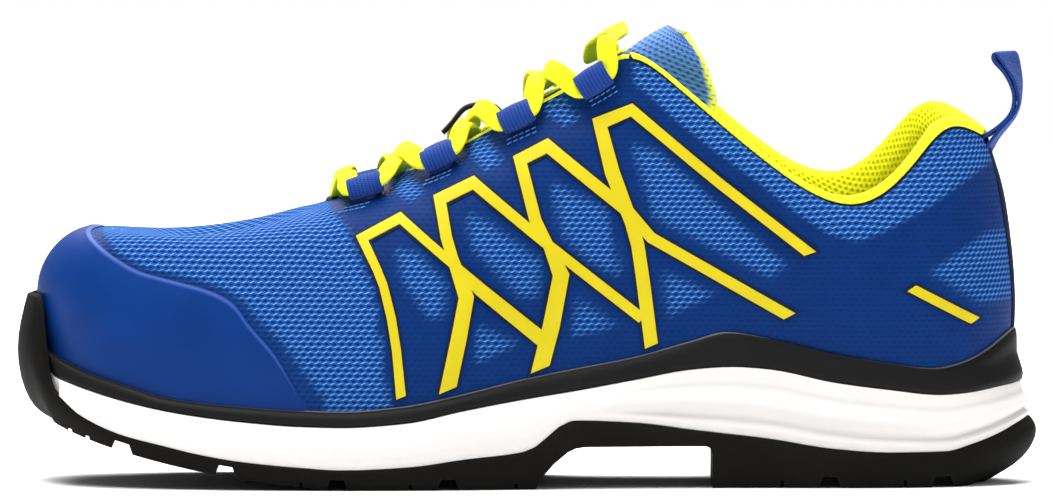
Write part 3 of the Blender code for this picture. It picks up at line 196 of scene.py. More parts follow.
FOOT_CUT = (0.92, 0.38)
DASH_CUT = (0.83, 0.55)
LATTICE = (
    Strip((Stop(113.4, 26.9, 3.1), Stop(112.1, 40.6, 2.9), Stop(110.6, 50.0, 2.9), Stop(108.3, 59.3, 2.8),
           Stop(106.4, 64.0, 2.8), Stop(102.1, 72.8, 3.0), Stop(113.2, 78.6, 3.0), Stop(128.7, 65.4, 2.9),
           Stop(136.5, 58.2, 4.1), Stop(155.9, 42.5, 4.6)), FOOT_CUT),
    Strip((Stop(126.9, 28.9, 4.8), Stop(130.2, 44.2, 4.8), Stop(132.4, 56.0, 4.6), Stop(128.4, 67.3, 3.5),
           Stop(126.6, 73.3, 3.6), Stop(124.8, 84.0, 3.6), Stop(134.6, 88.8, 3.5), Stop(154.3, 72.6, 3.3),
           Stop(183.8, 49.5, 3.4)), FOOT_CUT),
    Strip((Stop(153.8, 34.8, 5.0), Stop(157.1, 47.6, 5.2), Stop(160.0, 62.4, 4.9), Stop(156.4, 70.7, 3.4),
           Stop(152.6, 78.0, 3.8), Stop(148.2, 95.4, 3.7), Stop(156.2, 99.5, 3.8), Stop(179.7, 80.6, 3.8),
           Stop(186.3, 73.1, 3.5), Stop(227.0, 50.2, 3.5)), FOOT_CUT, (0.88, 0.47)),
    Strip((Stop(186.4, 41.4, 4.2), Stop(184.1, 59.4, 4.2), Stop(182.4, 71.0, 4.1), Stop(180.6, 77.4, 4.1),
           Stop(175.0, 92.1, 4.6), Stop(171.5, 106.2, 4.0), Stop(180.8, 110.1, 3.5), Stop(206.6, 88.9, 3.2),
           Stop(232.9, 68.4, 3.3)), FOOT_CUT, (0.95, 0.31)),
)
HEEL_DASH = (Strip((Stop(262.3, 58.3, 3.0), Stop(281.1, 48.3, 3.0)), DASH_CUT, DASH_CUT),)


class Loop(NamedTuple):
    """A webbing loop of the eyestay: its place along the shoe and its share of the rib."""

    along: float
    share: float


LOOPS = (Loop(103.8, 0.825), Loop(125.8, 0.875), Loop(148.2, 0.91), Loop(170.9, 0.92))


class Window(NamedTuple):
    """An area of open knit in side view, with the width over which its edge fades."""

    fade: float
    light: float
    corners: tuple[tuple[float, float], ...]


WINDOWS = (
    Window(0.5, 1.0, ((-20.0, 120.0), (80.0, 120.0), (89.7, 87.1), (92.1, 82.6), (97.9, 75.3),
                      (105.3, 57.6), (109.7, 25.3), (110.0, 0.0), (-20.0, 0.0))),
    Window(1.3, 0.9, ((112.1, 70.0), (118.2, 68.5), (126.2, 59.7), (125.3, 50.0), (121.2, 50.9),
                       (114.4, 60.6))),
    Window(1.3, 0.9, ((132.9, 80.3), (139.4, 76.8), (153.5, 66.5), (152.9, 55.9), (148.2, 56.8),
                       (134.4, 70.6))),
    Window(1.3, 0.85, ((135.9, 47.6), (147.0, 42.4), (135.3, 36.8))),
    Window(1.3, 0.9, ((157.3, 89.1), (172.9, 81.5), (177.0, 62.3), (168.2, 66.5), (160.6, 74.7))),
    Window(1.3, 0.85, ((165.3, 55.3), (175.9, 47.4), (163.5, 44.4))),
    Window(1.4, 0.95, ((181.2, 99.7), (188.5, 97.9), (225.3, 65.3), (220.6, 61.8), (187.3, 79.4))),
    Window(1.3, 0.85, ((190.3, 62.9), (204.4, 56.5), (191.5, 50.3))),
    Window(1.0, 0.95, ((109.8, 91.0), (116.5, 92.3), (119.5, 86.5), (116.0, 83.5), (111.5, 86.0))),
    Window(1.0, 0.95, ((132.8, 102.5), (138.5, 102.8), (142.5, 95.0), (138.5, 92.5), (134.0, 96.5))),
    Window(1.0, 0.95, ((154.8, 113.8), (161.0, 114.0), (165.0, 107.5), (161.5, 105.5), (155.8, 109.0))),
    Window(0.9, 1.0, ((180.5, 140.0), (205.0, 140.0), (246.0, 100.0), (262.0, 120.0), (292.0, 120.0),
                      (291.0, 96.0), (286.2, 94.7), (280.3, 90.9), (267.0, 81.5), (253.8, 74.4),
                      (245.9, 71.8), (237.9, 74.4), (227.3, 81.5), (217.6, 89.4), (206.2, 97.6),
                      (194.4, 106.8), (186.2, 114.4), (181.5, 118.3))),
    Window(1.6, 0.85, ((268.5, 62.9), (284.7, 73.8), (296.0, 75.3), (296.0, 54.7), (283.2, 53.8))),
)


class Crease(NamedTuple):
    """A soft trough or ridge of the upper in side view: two ends, its reach and its height."""

    start: tuple[float, float]
    end: tuple[float, float]
    reach: float
    height: float


CREASES = (
    Crease((88.0, 84.0), (96.0, 62.0), 4.5, -0.55),
    Crease((97.0, 74.0), (107.0, 40.0), 3.0, 0.35),
    Crease((118.0, 92.0), (121.0, 84.0), 3.2, -0.6),
    Crease((141.0, 103.0), (143.5, 95.0), 3.2, -0.6),
    Crease((164.0, 115.0), (166.5, 107.0), 3.4, -0.6),
    Crease((140.0, 60.0), (176.0, 38.0), 9.0, -0.6),
    Crease((206.0, 84.0), (240.0, 60.0), 9.0, -0.8),
    Crease((196.0, 108.0), (246.0, 76.0), 7.0, 0.9),
    Crease((246.0, 76.0), (280.0, 94.0), 7.0, 0.9),
)


def smoothstep(low: float, high: float, value: Array | float) -> Array:
    """Soft ramp from 0 to 1 between two values.

    Args:
        low: Value at which the ramp leaves 0.
        high: Value at which it reaches 1.
        value: Values to read the ramp at.

    Returns:
        The ramp at each value.
    """
    share = np.clip((np.asarray(value, float) - low) / (high - low), 0.0, 1.0)
    return share * share * (3.0 - 2.0 * share)


def unit(vectors: Array) -> Array:
    """Vectors of length one."""
    return vectors / np.linalg.norm(vectors, axis=-1, keepdims=True)


def travel(points: Array) -> Array:
    """Distance of each point of a path from its first one."""
    steps = np.linalg.norm(np.diff(points, axis=0), axis=-1)
    return np.concatenate([np.zeros((1,) + steps.shape[1:]), np.cumsum(steps, axis=0)])


def monotone(xs: Sequence[float], ys: Sequence[float], x: Array | float) -> Array:
    """Smooth curve through rising stations that never overshoots its rows.

    Args:
        xs: Stations.
        ys: Values at the stations.
        x: Places to read the curve at.

    Returns:
        The curve at each place.
    """
    xs = np.asarray(xs, float)
    ys = np.asarray(ys, float)
    step = np.diff(xs)
    slope = np.diff(ys) / step
    tangent = np.zeros_like(ys)
    tangent[0] = slope[0]
    tangent[-1] = slope[-1]
    for k in range(1, len(xs) - 1):
        if slope[k - 1] * slope[k] > 0.0:
            first = 2.0 * step[k] + step[k - 1]
            second = step[k] + 2.0 * step[k - 1]
            tangent[k] = (first + second) / (first / slope[k - 1] + second / slope[k])
    x = np.clip(np.asarray(x, float), xs[0], xs[-1])
    k = np.clip(np.searchsorted(xs, x, side="right") - 1, 0, len(xs) - 2)
    t = (x - xs[k]) / step[k]
    return (ys[k] * (1 + 2 * t) * (1 - t) ** 2 + tangent[k] * step[k] * t * (1 - t) ** 2
            + ys[k + 1] * t * t * (3 - 2 * t) + tangent[k + 1] * step[k] * t * t * (t - 1))


def spline(knots: Sequence[float], values: Any, x: Any, closed: bool = False) -> Array:
    """Cubic spline through rows of values, closed or with free ends.

    Args:
        knots: Stations of the rows.
        values: Rows to pass through.
        x: Places to read the spline at.
        closed: Whether the first and last row are one place.

    Returns:
        A row of values for each place.
    """
    knots = np.asarray(knots, float)
    values = np.asarray(values, float)
    count = len(knots)
    step = np.diff(knots)
    system = np.zeros((count, count))
    right_side = np.zeros(values.shape)
    for k in range(1, count - 1):
        system[k, k - 1:k + 2] = step[k - 1], 2.0 * (step[k - 1] + step[k]), step[k]
        after = (values[k + 1] - values[k]) / step[k]
        right_side[k] = 6.0 * (after - (values[k] - values[k - 1]) / step[k - 1])
    system[0, 0] = 1.0
    system[-1, -1] = 1.0
    if closed:
        system[0, -1] = -1.0
        system[-1] = 0.0
        system[-1, [0, 1, -2]] = 2.0 * (step[0] + step[-1]), step[0], step[-1]
        after = (values[1] - values[0]) / step[0]
        right_side[-1] = 6.0 * (after - (values[-1] - values[-2]) / step[-1])
    bend = np.linalg.solve(system, right_side.reshape(count, -1)).reshape(values.shape)
    x = np.atleast_1d(np.asarray(x, float))
    k = np.clip(np.searchsorted(knots, x, side="right") - 1, 0, count - 2)
    shape = (-1,) + (1,) * (values.ndim - 1)
    width = (knots[k + 1] - knots[k]).reshape(shape)
    right = (x - knots[k]).reshape(shape) / width
    left = 1.0 - right
    return (left * values[k] + right * values[k + 1]
            + ((left ** 3 - left) * bend[k] + (right ** 3 - right) * bend[k + 1]) * width * width / 6.0)


def polygon_depth(corners: Sequence[tuple[float, float]], points: Array) -> Array:
    """How far inside a polygon points lie, negative outside it.

    Args:
        corners: Corners of the polygon in order.
        points: Rows of two coordinates.

    Returns:
        Distance from the polygon's edge for each point.
    """
    ring = np.asarray(corners, float)
    nearest = np.full(len(points), np.inf)
    inside = np.zeros(len(points), bool)
    for a, b in zip(ring, np.roll(ring, -1, axis=0)):
        nearest = np.minimum(nearest, segment_distance(a, b, points))
        crosses = (a[1] > points[:, 1]) != (b[1] > points[:, 1])
        rise = b[1] - a[1] if b[1] != a[1] else 1.0
        inside ^= crosses & (points[:, 0] < (b[0] - a[0]) * (points[:, 1] - a[1]) / rise + a[0])
    return np.where(inside, nearest, -nearest)


def segment_distance(start: Array, end: Array, points: Array) -> Array:
    """Distance of points in side view from a straight run.

    Args:
        start: First end of the run.
        end: Its other end.
        points: Rows of two coordinates.

    Returns:
        The distance of each point.
    """
    run = np.asarray(end, float) - start
    share = np.clip(((points - start) @ run) / (run @ run), 0.0, 1.0)
    return np.linalg.norm(points - start - share[:, None] * run, axis=1)


@dataclass
class LastForm:
    """The shoe's own form: sole outline, level lines and the ribs of the upper.

    A place q runs from the toe tip down the outer side to the heel and back up the inner side.
    A share t runs up a rib of the upper from the feather line to the edge of the opening.
    """

    length: float = 300.0
    ball_width: float = 106.6
    bed_clearance: float = 0.6
    rib_knots: Floats = (0.0, 0.17, 0.34, 0.52, 0.75, 1.0)
    swell_shares: Floats = (0.62, 1.0, 0.92, 0.5)
    toe_fade: Floats = (17.0, 32.5)
    heel_fade: Floats = (16.0, 46.0)
    wall_top: float = 0.6
    halvings: int = 26
    eyestay_stations: tuple[int, int] = (3, 9)
    eyestay_steps: int = 400

    def __post_init__(self) -> None:
        """Read the station table into arrays."""
        self.table = {name: np.array([getattr(row, name) for row in STATIONS])
                      for name in Station._fields[1:]}
        self.outer = np.column_stack([self.table["outer_along"], self.table["outer_across"]])
        self.inner = np.column_stack([self.table["inner_along"], self.table["inner_across"]])
        self.knots = 0.5 * (travel(self.outer) + travel(self.inner))
        self.half_way = float(self.knots[-1])
        names = Station._fields[Station._fields.index("tuck"):-1]
        self.ribs = np.column_stack([self.table[name] for name in names])

    def around(self, outer: Array, inner: Array, q: Array) -> Array:
        """Closed spline round the shoe.

        Args:
            outer: Rows of the outer side, from the toe to the heel.
            inner: Rows of the inner side.
            q: Places to read the spline at.

        Returns:
            A row of values for each place.
        """
        knots = np.concatenate([self.knots, 2.0 * self.half_way - self.knots[-2::-1]])
        values = np.concatenate([outer, inner[-2::-1]])
        return spline(knots, values, np.mod(q, 2.0 * self.half_way), closed=True)

    def outline(self, q: Array) -> tuple[Array, Array]:
        """Outline of the sole in plan.

        Args:
            q: Places round the shoe.

        Returns:
            Points of the outline and their outward directions.
        """
        low = self.outer[:, 1].min()
        high = self.inner[:, 1].max()
        scale = (1.0, self.ball_width / (high - low))
        middle = (0.5 * self.length, 0.5 * (low + high))
        points = (self.around(self.outer, self.inner, q) - middle) * scale
        step = 0.5
        ahead = self.around(self.outer, self.inner, q + step)
        tangent = unit(ahead - self.around(self.outer, self.inner, q - step))
        return points, np.stack([tangent[:, 1], -tangent[:, 0]], axis=1)

    def level(self, name: str, x: Array | float) -> Array:
        """Height of one of the sole's lines at a place along the shoe."""
        along = np.asarray(x) + 0.5 * self.length
        return monotone([row.along for row in LEVELS], [getattr(row, name) for row in LEVELS], along)

    def toe_reach(self, q: Array) -> Array:
        """Distance of a place from the toe tip, on either side."""
        q = np.mod(q, 2.0 * self.half_way)
        return np.minimum(q, 2.0 * self.half_way - q)

    def toe_weight(self, q: Array) -> Array:
        """1 under the toe bumper, 0 along the side."""
        return 1.0 - smoothstep(*self.toe_fade, self.toe_reach(q))

    def heel_weight(self, q: Array) -> Array:
        """1 at the back of the heel, 0 along the side."""
        return 1.0 - smoothstep(*self.heel_fade, np.abs(q - self.half_way))

    def places(self, half: int) -> Array:
        """Places round the outline, closer together at the toe than along the side.

        Args:
            half: Number of steps from the toe tip to the heel.

        Returns:
            The places, down the outer side and back up the inner one.
        """
        share = np.linspace(0.0, 1.0, half + 1)
        run = self.half_way * monotone((0.0, 0.25, 0.5, 0.78, 1.0), (0.0, 0.14, 0.41, 0.76, 1.0), share)
        return np.concatenate([run, 2.0 * self.half_way - run[-2:0:-1]])

    def ring(self, q: Array, inset: Array | float, height: Array | float) -> Array:
        """A ring of points at an inset from the outline.

        Args:
            q: Places round the shoe.
            inset: Distance inwards from the outline.
            height: Height over the floor.

        Returns:
            The points.
        """
        points, outward = self.outline(q)
        plan = points - outward * np.broadcast_to(inset, q.shape)[:, None]
        return np.column_stack([plan, np.broadcast_to(height, q.shape)])

    def instep_line(self, x: Array) -> Array:
        """Sideways place of the instep line, which leans to the inner side in front."""
        return np.interp(np.asarray(x), (-60.0, 70.0), (3.0, 0.0))

    def rib_controls(self, q: Array) -> Array:
        """Control points of the upper's ribs.

        Args:
            q: Places round the shoe.

        Returns:
            Six rows of points, from the feather line to the edge.
        """
        plan, outward = self.outline(q)
        values = self.around(self.ribs, self.ribs, q)
        along = self.table["edge_along"] - 0.5 * self.length
        up = self.table["edge_up"]
        outer_edge = np.column_stack([along, -self.table["edge_outer_half"], up])
        inner_edge = np.column_stack([along, self.table["edge_inner_half"], up + self.table["inner_lift"]])
        top = self.around(outer_edge, inner_edge, q)
        top[:, 1] += self.instep_line(top[:, 0])
        foot = plan - outward * values[:, :1]
        base = np.column_stack([foot, self.level("bed", plan[:, 0]) + self.bed_clearance])
        across = np.column_stack([top[:, :2] - foot, np.zeros(len(q))])
        rise = (top[:, 2] - base[:, 2])[:, None] * (0.0, 0.0, 1.0)
        belly = np.column_stack([outward, np.zeros(len(q))]) * values[:, -1:]
        controls = [base]
        for k, swell in enumerate(self.swell_shares):
            share_in = values[:, 1 + 2 * k:2 + 2 * k]
            share_up = values[:, 2 + 2 * k:3 + 2 * k]
            controls.append(base + across * share_in + rise * share_up + belly * swell)
        controls.append(top)
        return np.stack(controls)

    def point(self, q: Array, t: Array) -> Array:
        """Points of the upper's outer face at matching places and shares."""
        weights = spline(self.rib_knots, np.eye(len(self.rib_knots)), t)
        return np.einsum("nk,knc->nc", weights, self.rib_controls(q))

    def frame(self, q: Array, t: Array) -> tuple[Array, Array]:
        """Points of the upper's outer face.

        Args:
            q: Places round the shoe.
            t: Shares up the ribs.

        Returns:
            The points and their outward directions.
        """
        q = np.asarray(q, float)
        t = np.asarray(t, float)
        step_q = 0.4
        step_t = 0.004
        along = self.point(q + step_q, t) - self.point(q - step_q, t)
        up = self.point(q, np.minimum(t + step_t, 1.0)) - self.point(q, np.maximum(t - step_t, 0.0))
        return self.point(q, t), unit(np.cross(along, up))

    def share_at_height(self, q: Array, height: Array | float) -> Array:
        """Share of each rib at which its lower wall reaches a height.

        Args:
            q: Places round the shoe.
            height: Height to reach.

        Returns:
            The shares.
        """
        low = np.zeros_like(q)
        high = np.full_like(q, self.wall_top)
        for _ in range(self.halvings):
            middle = 0.5 * (low + high)
            below = self.point(q, middle)[:, 2] < height
            low = np.where(below, middle, low)
            high = np.where(below, high, middle)
        return 0.5 * (low + high)

    def share_below(self, q: Array, depth: float) -> Array:
        """Share of each rib at a distance below the edge, measured along the rib.

        Args:
            q: Places round the shoe.
            depth: Distance from the edge.

        Returns:
            The shares.
        """
        shares = np.linspace(1.0, 0.0, 41)
        length = travel(np.stack([self.point(q, np.full_like(q, share)) for share in shares]))
        return np.array([np.interp(depth, length[:, k], shares) for k in range(len(q))])

    def side_place(self, along: Array, up: Array, side: Side) -> tuple[Array, Array]:
        """Place and share where the side of the upper shows at points of the side view.

        Args:
            along: Distances from the toe tip.
            up: Heights.
            side: Side of the foot.

        Returns:
            Places q and shares t.
        """
        target = np.column_stack([np.asarray(along, float) - 0.5 * self.length, up])
        q_grid, t_grid = np.meshgrid(np.linspace(0.1, 0.95, 70) * self.half_way, np.linspace(0.02, 0.98, 50))
        q_grid = q_grid.ravel()
        t_grid = t_grid.ravel()
        if side is Side.INNER:
            q_grid = 2.0 * self.half_way - q_grid
        seen = self.point(q_grid, t_grid)[:, [0, 2]]
        nearest = [int(np.argmin(((spot - seen) ** 2).sum(axis=1))) for spot in target]
        q = q_grid[nearest]
        t = t_grid[nearest]
        step_q = 0.3
        step_t = 0.003
        damping = 0.8
        for _ in range(12):
            now = self.point(q, t)[:, [0, 2]]
            by_q = (self.point(q + step_q, t)[:, [0, 2]] - now) / step_q
            by_t = (self.point(q, t + step_t)[:, [0, 2]] - now) / step_t
            miss = target - now
            area = by_q[:, 0] * by_t[:, 1] - by_q[:, 1] * by_t[:, 0]
            q = q + damping * (miss[:, 0] * by_t[:, 1] - miss[:, 1] * by_t[:, 0]) / area
            rise = (by_q[:, 0] * miss[:, 1] - by_q[:, 1] * miss[:, 0]) / area
            t = np.clip(t + damping * rise, 0.0, 1.0)
        return q, t

    def beside_upper(self, q: Array, height: Array, clearance: float) -> Array:
        """A ring just outside the upper's wall.

        Args:
            q: Places round the shoe.
            height: Height of the ring at each place.
            clearance: Gap to the wall.

        Returns:
            The points.
        """
        point, outward = self.frame(q, self.share_at_height(q, height))
        flat = unit(outward * (1.0, 1.0, 0.0))
        return np.column_stack([(point + flat * clearance)[:, :2], height])

    def eyestay_place(self, along: float, share: float, side: Side) -> Array:
        """Place round the shoe where the eyestay reaches a distance from the toe.

        Args:
            along: Distance from the toe tip.
            share: Share up the ribs.
            side: Side of the foot.

        Returns:
            The place, as an array of one.
        """
        first, last = self.eyestay_stations
        q = np.linspace(self.knots[first], self.knots[last], self.eyestay_steps)
        if side is Side.INNER:
            q = 2.0 * self.half_way - q
        miss = self.point(q, np.full_like(q, share))[:, 0] - (along - 0.5 * self.length)
        return q[[np.argmin(np.abs(miss))]]


class Bench:
    """Mesh tools that work on one object at a time."""

    @staticmethod
    def pick(item: bpy.types.Object) -> None:
        """Make one object the only selected and active one.

        Args:
            item: Object to pick.
        """
        bpy.ops.object.select_all(action="DESELECT")
        item.select_set(True)
        bpy.context.view_layer.objects.active = item

    @staticmethod
    def modify(item: bpy.types.Object, kind: str, **settings: Any) -> None:
        """Add a modifier and apply it.

        Args:
            item: Mesh object.
            kind: Type of the modifier.
            **settings: Its properties.
        """
        Bench.pick(item)
        modifier = item.modifiers.new(kind.lower(), kind)
        for key, value in settings.items():
            setattr(modifier, key, value)
        bpy.ops.object.modifier_apply(modifier=modifier.name)

    @staticmethod
    def bevel(item: bpy.types.Object, width: float) -> None:
        """Round an object's sharp edges over a width in millimetres."""
        Bench.modify(item, "BEVEL", width=width * MM, segments=2, limit_method="ANGLE",
                     angle_limit=math.radians(50.0))

    @staticmethod
    def weld(item: bpy.types.Object, fill: bool = False) -> None:
        """Merge doubled points, close open ends where asked and turn the faces outwards.

        Args:
            item: Mesh object.
            fill: Whether open ends are closed.
        """
        Bench.pick(item)
        bpy.ops.object.mode_set(mode="EDIT")
        bpy.ops.mesh.select_all(action="SELECT")
        bpy.ops.mesh.remove_doubles(threshold=MERGE_GAP)
        if fill:
            bpy.ops.mesh.fill_holes(sides=0)
            bpy.ops.mesh.select_all(action="SELECT")
        bpy.ops.mesh.normals_make_consistent(inside=False)
        bpy.ops.object.mode_set(mode="OBJECT")

    @staticmethod
    def smooth(item: bpy.types.Object, degrees: float = 40.0) -> None:
        """Shade smoothly except over edges sharper than an angle."""
        Bench.pick(item)
        bpy.ops.object.shade_smooth_by_angle(angle=math.radians(degrees))

    @staticmethod
    def grid(name: str, points: Array, uv: Array | None = None,
             traits: Mapping[str, Array] | None = None) -> bpy.types.Object:
        """A sheet of quads through rows of points.

        Args:
            name: Object name.
            points: Rows of points in millimetres.
            uv: Weave coordinates in metres of each point.
            traits: Named values of each point for the materials.

        Returns:
            The sheet.
        """
        rows, columns = points.shape[:2]
        bpy.ops.object.select_all(action="DESELECT")
        bpy.ops.mesh.primitive_grid_add(x_subdivisions=columns - 1, y_subdivisions=rows - 1, size=2.0)
        item = bpy.context.object
        item.name = name
        mesh = item.data
        mesh.name = name
        flat = np.empty(len(mesh.vertices) * 3)
        mesh.vertices.foreach_get("co", flat)
        flat = flat.reshape(-1, 3)
        column = np.rint((flat[:, 0] + 1.0) * 0.5 * (columns - 1)).astype(int)
        row = np.rint((flat[:, 1] + 1.0) * 0.5 * (rows - 1)).astype(int)
        order = row * columns + column
        mesh.vertices.foreach_set("co", (points.reshape(-1, 3)[order] * MM).ravel())
        if uv is not None:
            corner = np.empty(len(mesh.loops), int)
            mesh.loops.foreach_get("vertex_index", corner)
            layer = mesh.uv_layers[0]
            layer.name = WEAVE_UV
            layer.data.foreach_set("uv", uv.reshape(-1, 2)[order][corner].ravel())
        for trait, values in (traits or {}).items():
            layer = mesh.attributes.new(trait, "FLOAT", "POINT")
            layer.data.foreach_set("value", np.asarray(values, float).ravel()[order])
        mesh.update()
        return item

    @staticmethod
    def loft(name: str, rings: Array, fill: bool = True, round_again: bool = False,
             traits: Mapping[str, Array] | None = None) -> bpy.types.Object:
        """A closed form through closed rings of points.

        Args:
            name: Object name.
            rings: Rings of points in millimetres, from one end to the other.
            fill: Whether the end rings are closed by a face.
            round_again: Whether the last ring joins the first one.
            traits: Named values of each ring point for the materials.

        Returns:
            The form, with the weave coordinates run round and along it in metres.
        """
        if round_again:
            rings = np.concatenate([rings, rings[:1]])
        loop = np.concatenate([rings, rings[:, :1]], axis=1)
        around = travel(np.swapaxes(loop, 0, 1)).mean(axis=1)
        along = travel(loop).mean(axis=1)
        uv = np.stack(np.meshgrid(around, along), axis=2) * MM
        wrapped = {}
        for trait, values in (traits or {}).items():
            if round_again:
                values = np.concatenate([values, values[:1]])
            wrapped[trait] = np.concatenate([values, values[:, :1]], axis=1)
        item = Bench.grid(name, loop, uv, wrapped)
        Bench.weld(item, fill=fill and not round_again)
        return item

    @staticmethod
    def to_middle(ring: Array, shares: Sequence[float]) -> list[Array]:
        """Rings that close a ring on its own middle line, each point moved towards its partner."""
        partner = np.roll(ring[::-1], 1, axis=0)
        return [ring + 0.5 * share * (partner - ring) for share in shares]

    @staticmethod
    def boolean(item: bpy.types.Object, tool: bpy.types.Object, operation: str) -> None:
        """Cut or join an object with a tool, which is used up."""
        Bench.modify(item, "BOOLEAN", operation=operation, solver="EXACT", object=tool)
        bpy.data.objects.remove(tool, do_unlink=True)

    @staticmethod
    def join(name: str, items: Sequence[bpy.types.Object]) -> bpy.types.Object:
        """One object from several.

        Args:
            name: Name of the joined object.
            items: Objects to join.

        Returns:
            The joined object.
        """
        Bench.pick(items[0])
        for item in items:
            item.select_set(True)
        bpy.ops.object.join()
        bpy.context.object.name = name
        return bpy.context.object


class Wire:
    """A value in a material whose arithmetic adds Math nodes."""

    def __init__(self, recipe: "Recipe", socket: bpy.types.NodeSocket) -> None:
        """Hold an output socket of a recipe's node."""
        self.recipe = recipe
        self.socket = socket

    def __add__(self, other: "Wire | float") -> "Wire":
        """Sum."""
        return self.recipe.math("ADD", self, other)

    def __sub__(self, other: "Wire | float") -> "Wire":
        """Difference."""
        return self.recipe.math("SUBTRACT", self, other)

    def __mul__(self, other: "Wire | float") -> "Wire":
        """Product."""
        return self.recipe.math("MULTIPLY", self, other)

    def __truediv__(self, other: "Wire | float") -> "Wire":
        """Quotient."""
        return self.recipe.math("DIVIDE", self, other)

    def __rsub__(self, other: float) -> "Wire":
        """Difference from a number."""
        return self.recipe.math("SUBTRACT", other, self)

    def __rtruediv__(self, other: float) -> "Wire":
        """Quotient of a number."""
        return self.recipe.math("DIVIDE", other, self)

    __radd__ = __add__
    __rmul__ = __mul__

    def does(self, operation: str, *others: "Wire | float") -> "Wire":
        """Any other operation of the Math node."""
        return self.recipe.math(operation, self, *others)

    def ramp(self, low: float, high: float) -> "Wire":
        """Soft ramp from 0 to 1 between two values, which may fall as well as rise.

        Args:
            low: Value at which the ramp leaves 0.
            high: Value at which it reaches 1.

        Returns:
            The ramp.
        """
        inputs = {"Value": self, "From Min": low, "From Max": high}
        node = self.recipe.node("ShaderNodeMapRange", {"interpolation_type": "SMOOTHSTEP"}, inputs)
        return Wire(self.recipe, node.outputs[0])


class Recipe:
    """A material in the making."""

    def __init__(self, name: str) -> None:
        """Start a material with a bare Principled shader.

        Args:
            name: Material name.
        """
        self.material = bpy.data.materials.new(name)
        self.material.use_nodes = True
        self.tree = self.material.node_tree
        self.shader = self.tree.nodes["Principled BSDF"]

    def node(self, kind: str, settings: Mapping[str, Any] | None = None,
             inputs: Mapping[str | int, Any] | None = None) -> bpy.types.Node:
        """Add a node.

        Args:
            kind: Node type.
            settings: Properties, set before the inputs.
            inputs: Values or wires of its input sockets.

        Returns:
            The node.
        """
        made = self.tree.nodes.new(kind)
        for key, value in (settings or {}).items():
            setattr(made, key, value)
        for key, value in (inputs or {}).items():
            self.feed(made.inputs[key], value)
        return made

    def feed(self, socket: bpy.types.NodeSocket, value: Any) -> None:
        """Link a wire or set a value on an input socket.

        Args:
            socket: Input socket.
            value: Wire, number or colour.
        """
        if isinstance(value, Wire):
            self.tree.links.new(value.socket, socket)
        elif isinstance(value, tuple) and len(value) == 3 and len(socket.default_value) == 4:
            socket.default_value = (*value, 1.0)
        else:
            socket.default_value = value

    def math(self, operation: str, *values: Wire | float) -> Wire:
        """A Math node over wires and numbers."""
        node = self.node("ShaderNodeMath", {"operation": operation}, dict(enumerate(values)))
        return Wire(self, node.outputs[0])

    def mix(self, share: Wire | float, first: Wire | Colour, second: Wire | Colour) -> Wire:
        """A colour between two others."""
        node = self.node("ShaderNodeMix", {"data_type": "RGBA"}, {0: share, 6: first, 7: second})
        return Wire(self, node.outputs[2])

    def trait(self, name: str) -> Wire:
        """A value stored on the mesh's points."""
        return Wire(self, self.node("ShaderNodeAttribute", {"attribute_name": name}).outputs["Fac"])

    def weave(self) -> tuple[Wire, Wire]:
        """The weave coordinates of the mesh.

        Returns:
            The coordinate across the weave and the one along it.
        """
        coords = Wire(self, self.node("ShaderNodeUVMap", {"uv_map": WEAVE_UV}).outputs["UV"])
        split = self.node("ShaderNodeSeparateXYZ", None, {0: coords})
        return Wire(self, split.outputs[0]), Wire(self, split.outputs[1])

    def noise(self, scale: float, detail: float) -> Wire:
        """Cloudy noise on Object coordinates.

        Args:
            scale: Cells to a metre.
            detail: Finer layers.

        Returns:
            The noise, about 0.5 in the mean.
        """
        spot = Wire(self, self.node("ShaderNodeTexCoord").outputs["Object"])
        inputs = {"Vector": spot, "Scale": scale, "Detail": detail}
        return Wire(self, self.node("ShaderNodeTexNoise", None, inputs).outputs[0])

    def bump(self, height: Wire, distance: float) -> None:
        """Relief of the surface, of a depth in metres."""
        node = self.node("ShaderNodeBump", None, {"Height": height, "Distance": distance, "Strength": 1.0})
        self.tree.links.new(node.outputs[0], self.shader.inputs["Normal"])

    def finish(self, **values: Any) -> bpy.types.Material:
        """Set the shader's inputs and hand over the material.

        Args:
            **values: Inputs, with the spaces in their names written as underscores.

        Returns:
            The material.
        """
        for key, value in values.items():
            self.feed(self.shader.inputs[key.replace("_", " ")], value)
        return self.material


@dataclass(frozen=True)
class KnitPattern:
    """Staggered oval holes of a knitted mesh between zigzag strands, in metres."""

    pitch: float = 0.00224
    row: float = 0.00155
    hole_wide: float = 0.29
    hole_high: float = 0.19
    sway: float = 0.13
    thread: float = 0.15

    def draw(self, u: Wire, v: Wire) -> tuple[Wire, Wire, Wire]:
        """Lay the pattern on weave coordinates.

        Args:
            u: Coordinate along the rows.
            v: Coordinate up the rows.

        Returns:
            Distance from the middle of each hole, 1 at its rim, how close a place is to a strand
            between two rows, and 1 where that strand climbs to the heel.
        """
        rows = v / self.row
        shift = rows.does("FLOOR") * 0.5
        across = (u / self.pitch + shift).does("FRACT") - 0.5
        up = rows.does("FRACT") - 0.5
        wide = across / self.hole_wide
        high = up / self.hole_high
        reach = (wide * wide + high * high).does("SQRT")
        bend = (across * (2.0 * math.pi)).does("COSINE") * self.sway
        strand = (bend + 0.5 - up.does("ABSOLUTE")).does("ABSOLUTE").ramp(self.thread, 0.05)
        return reach, strand, (across * up).ramp(0.02, -0.02)


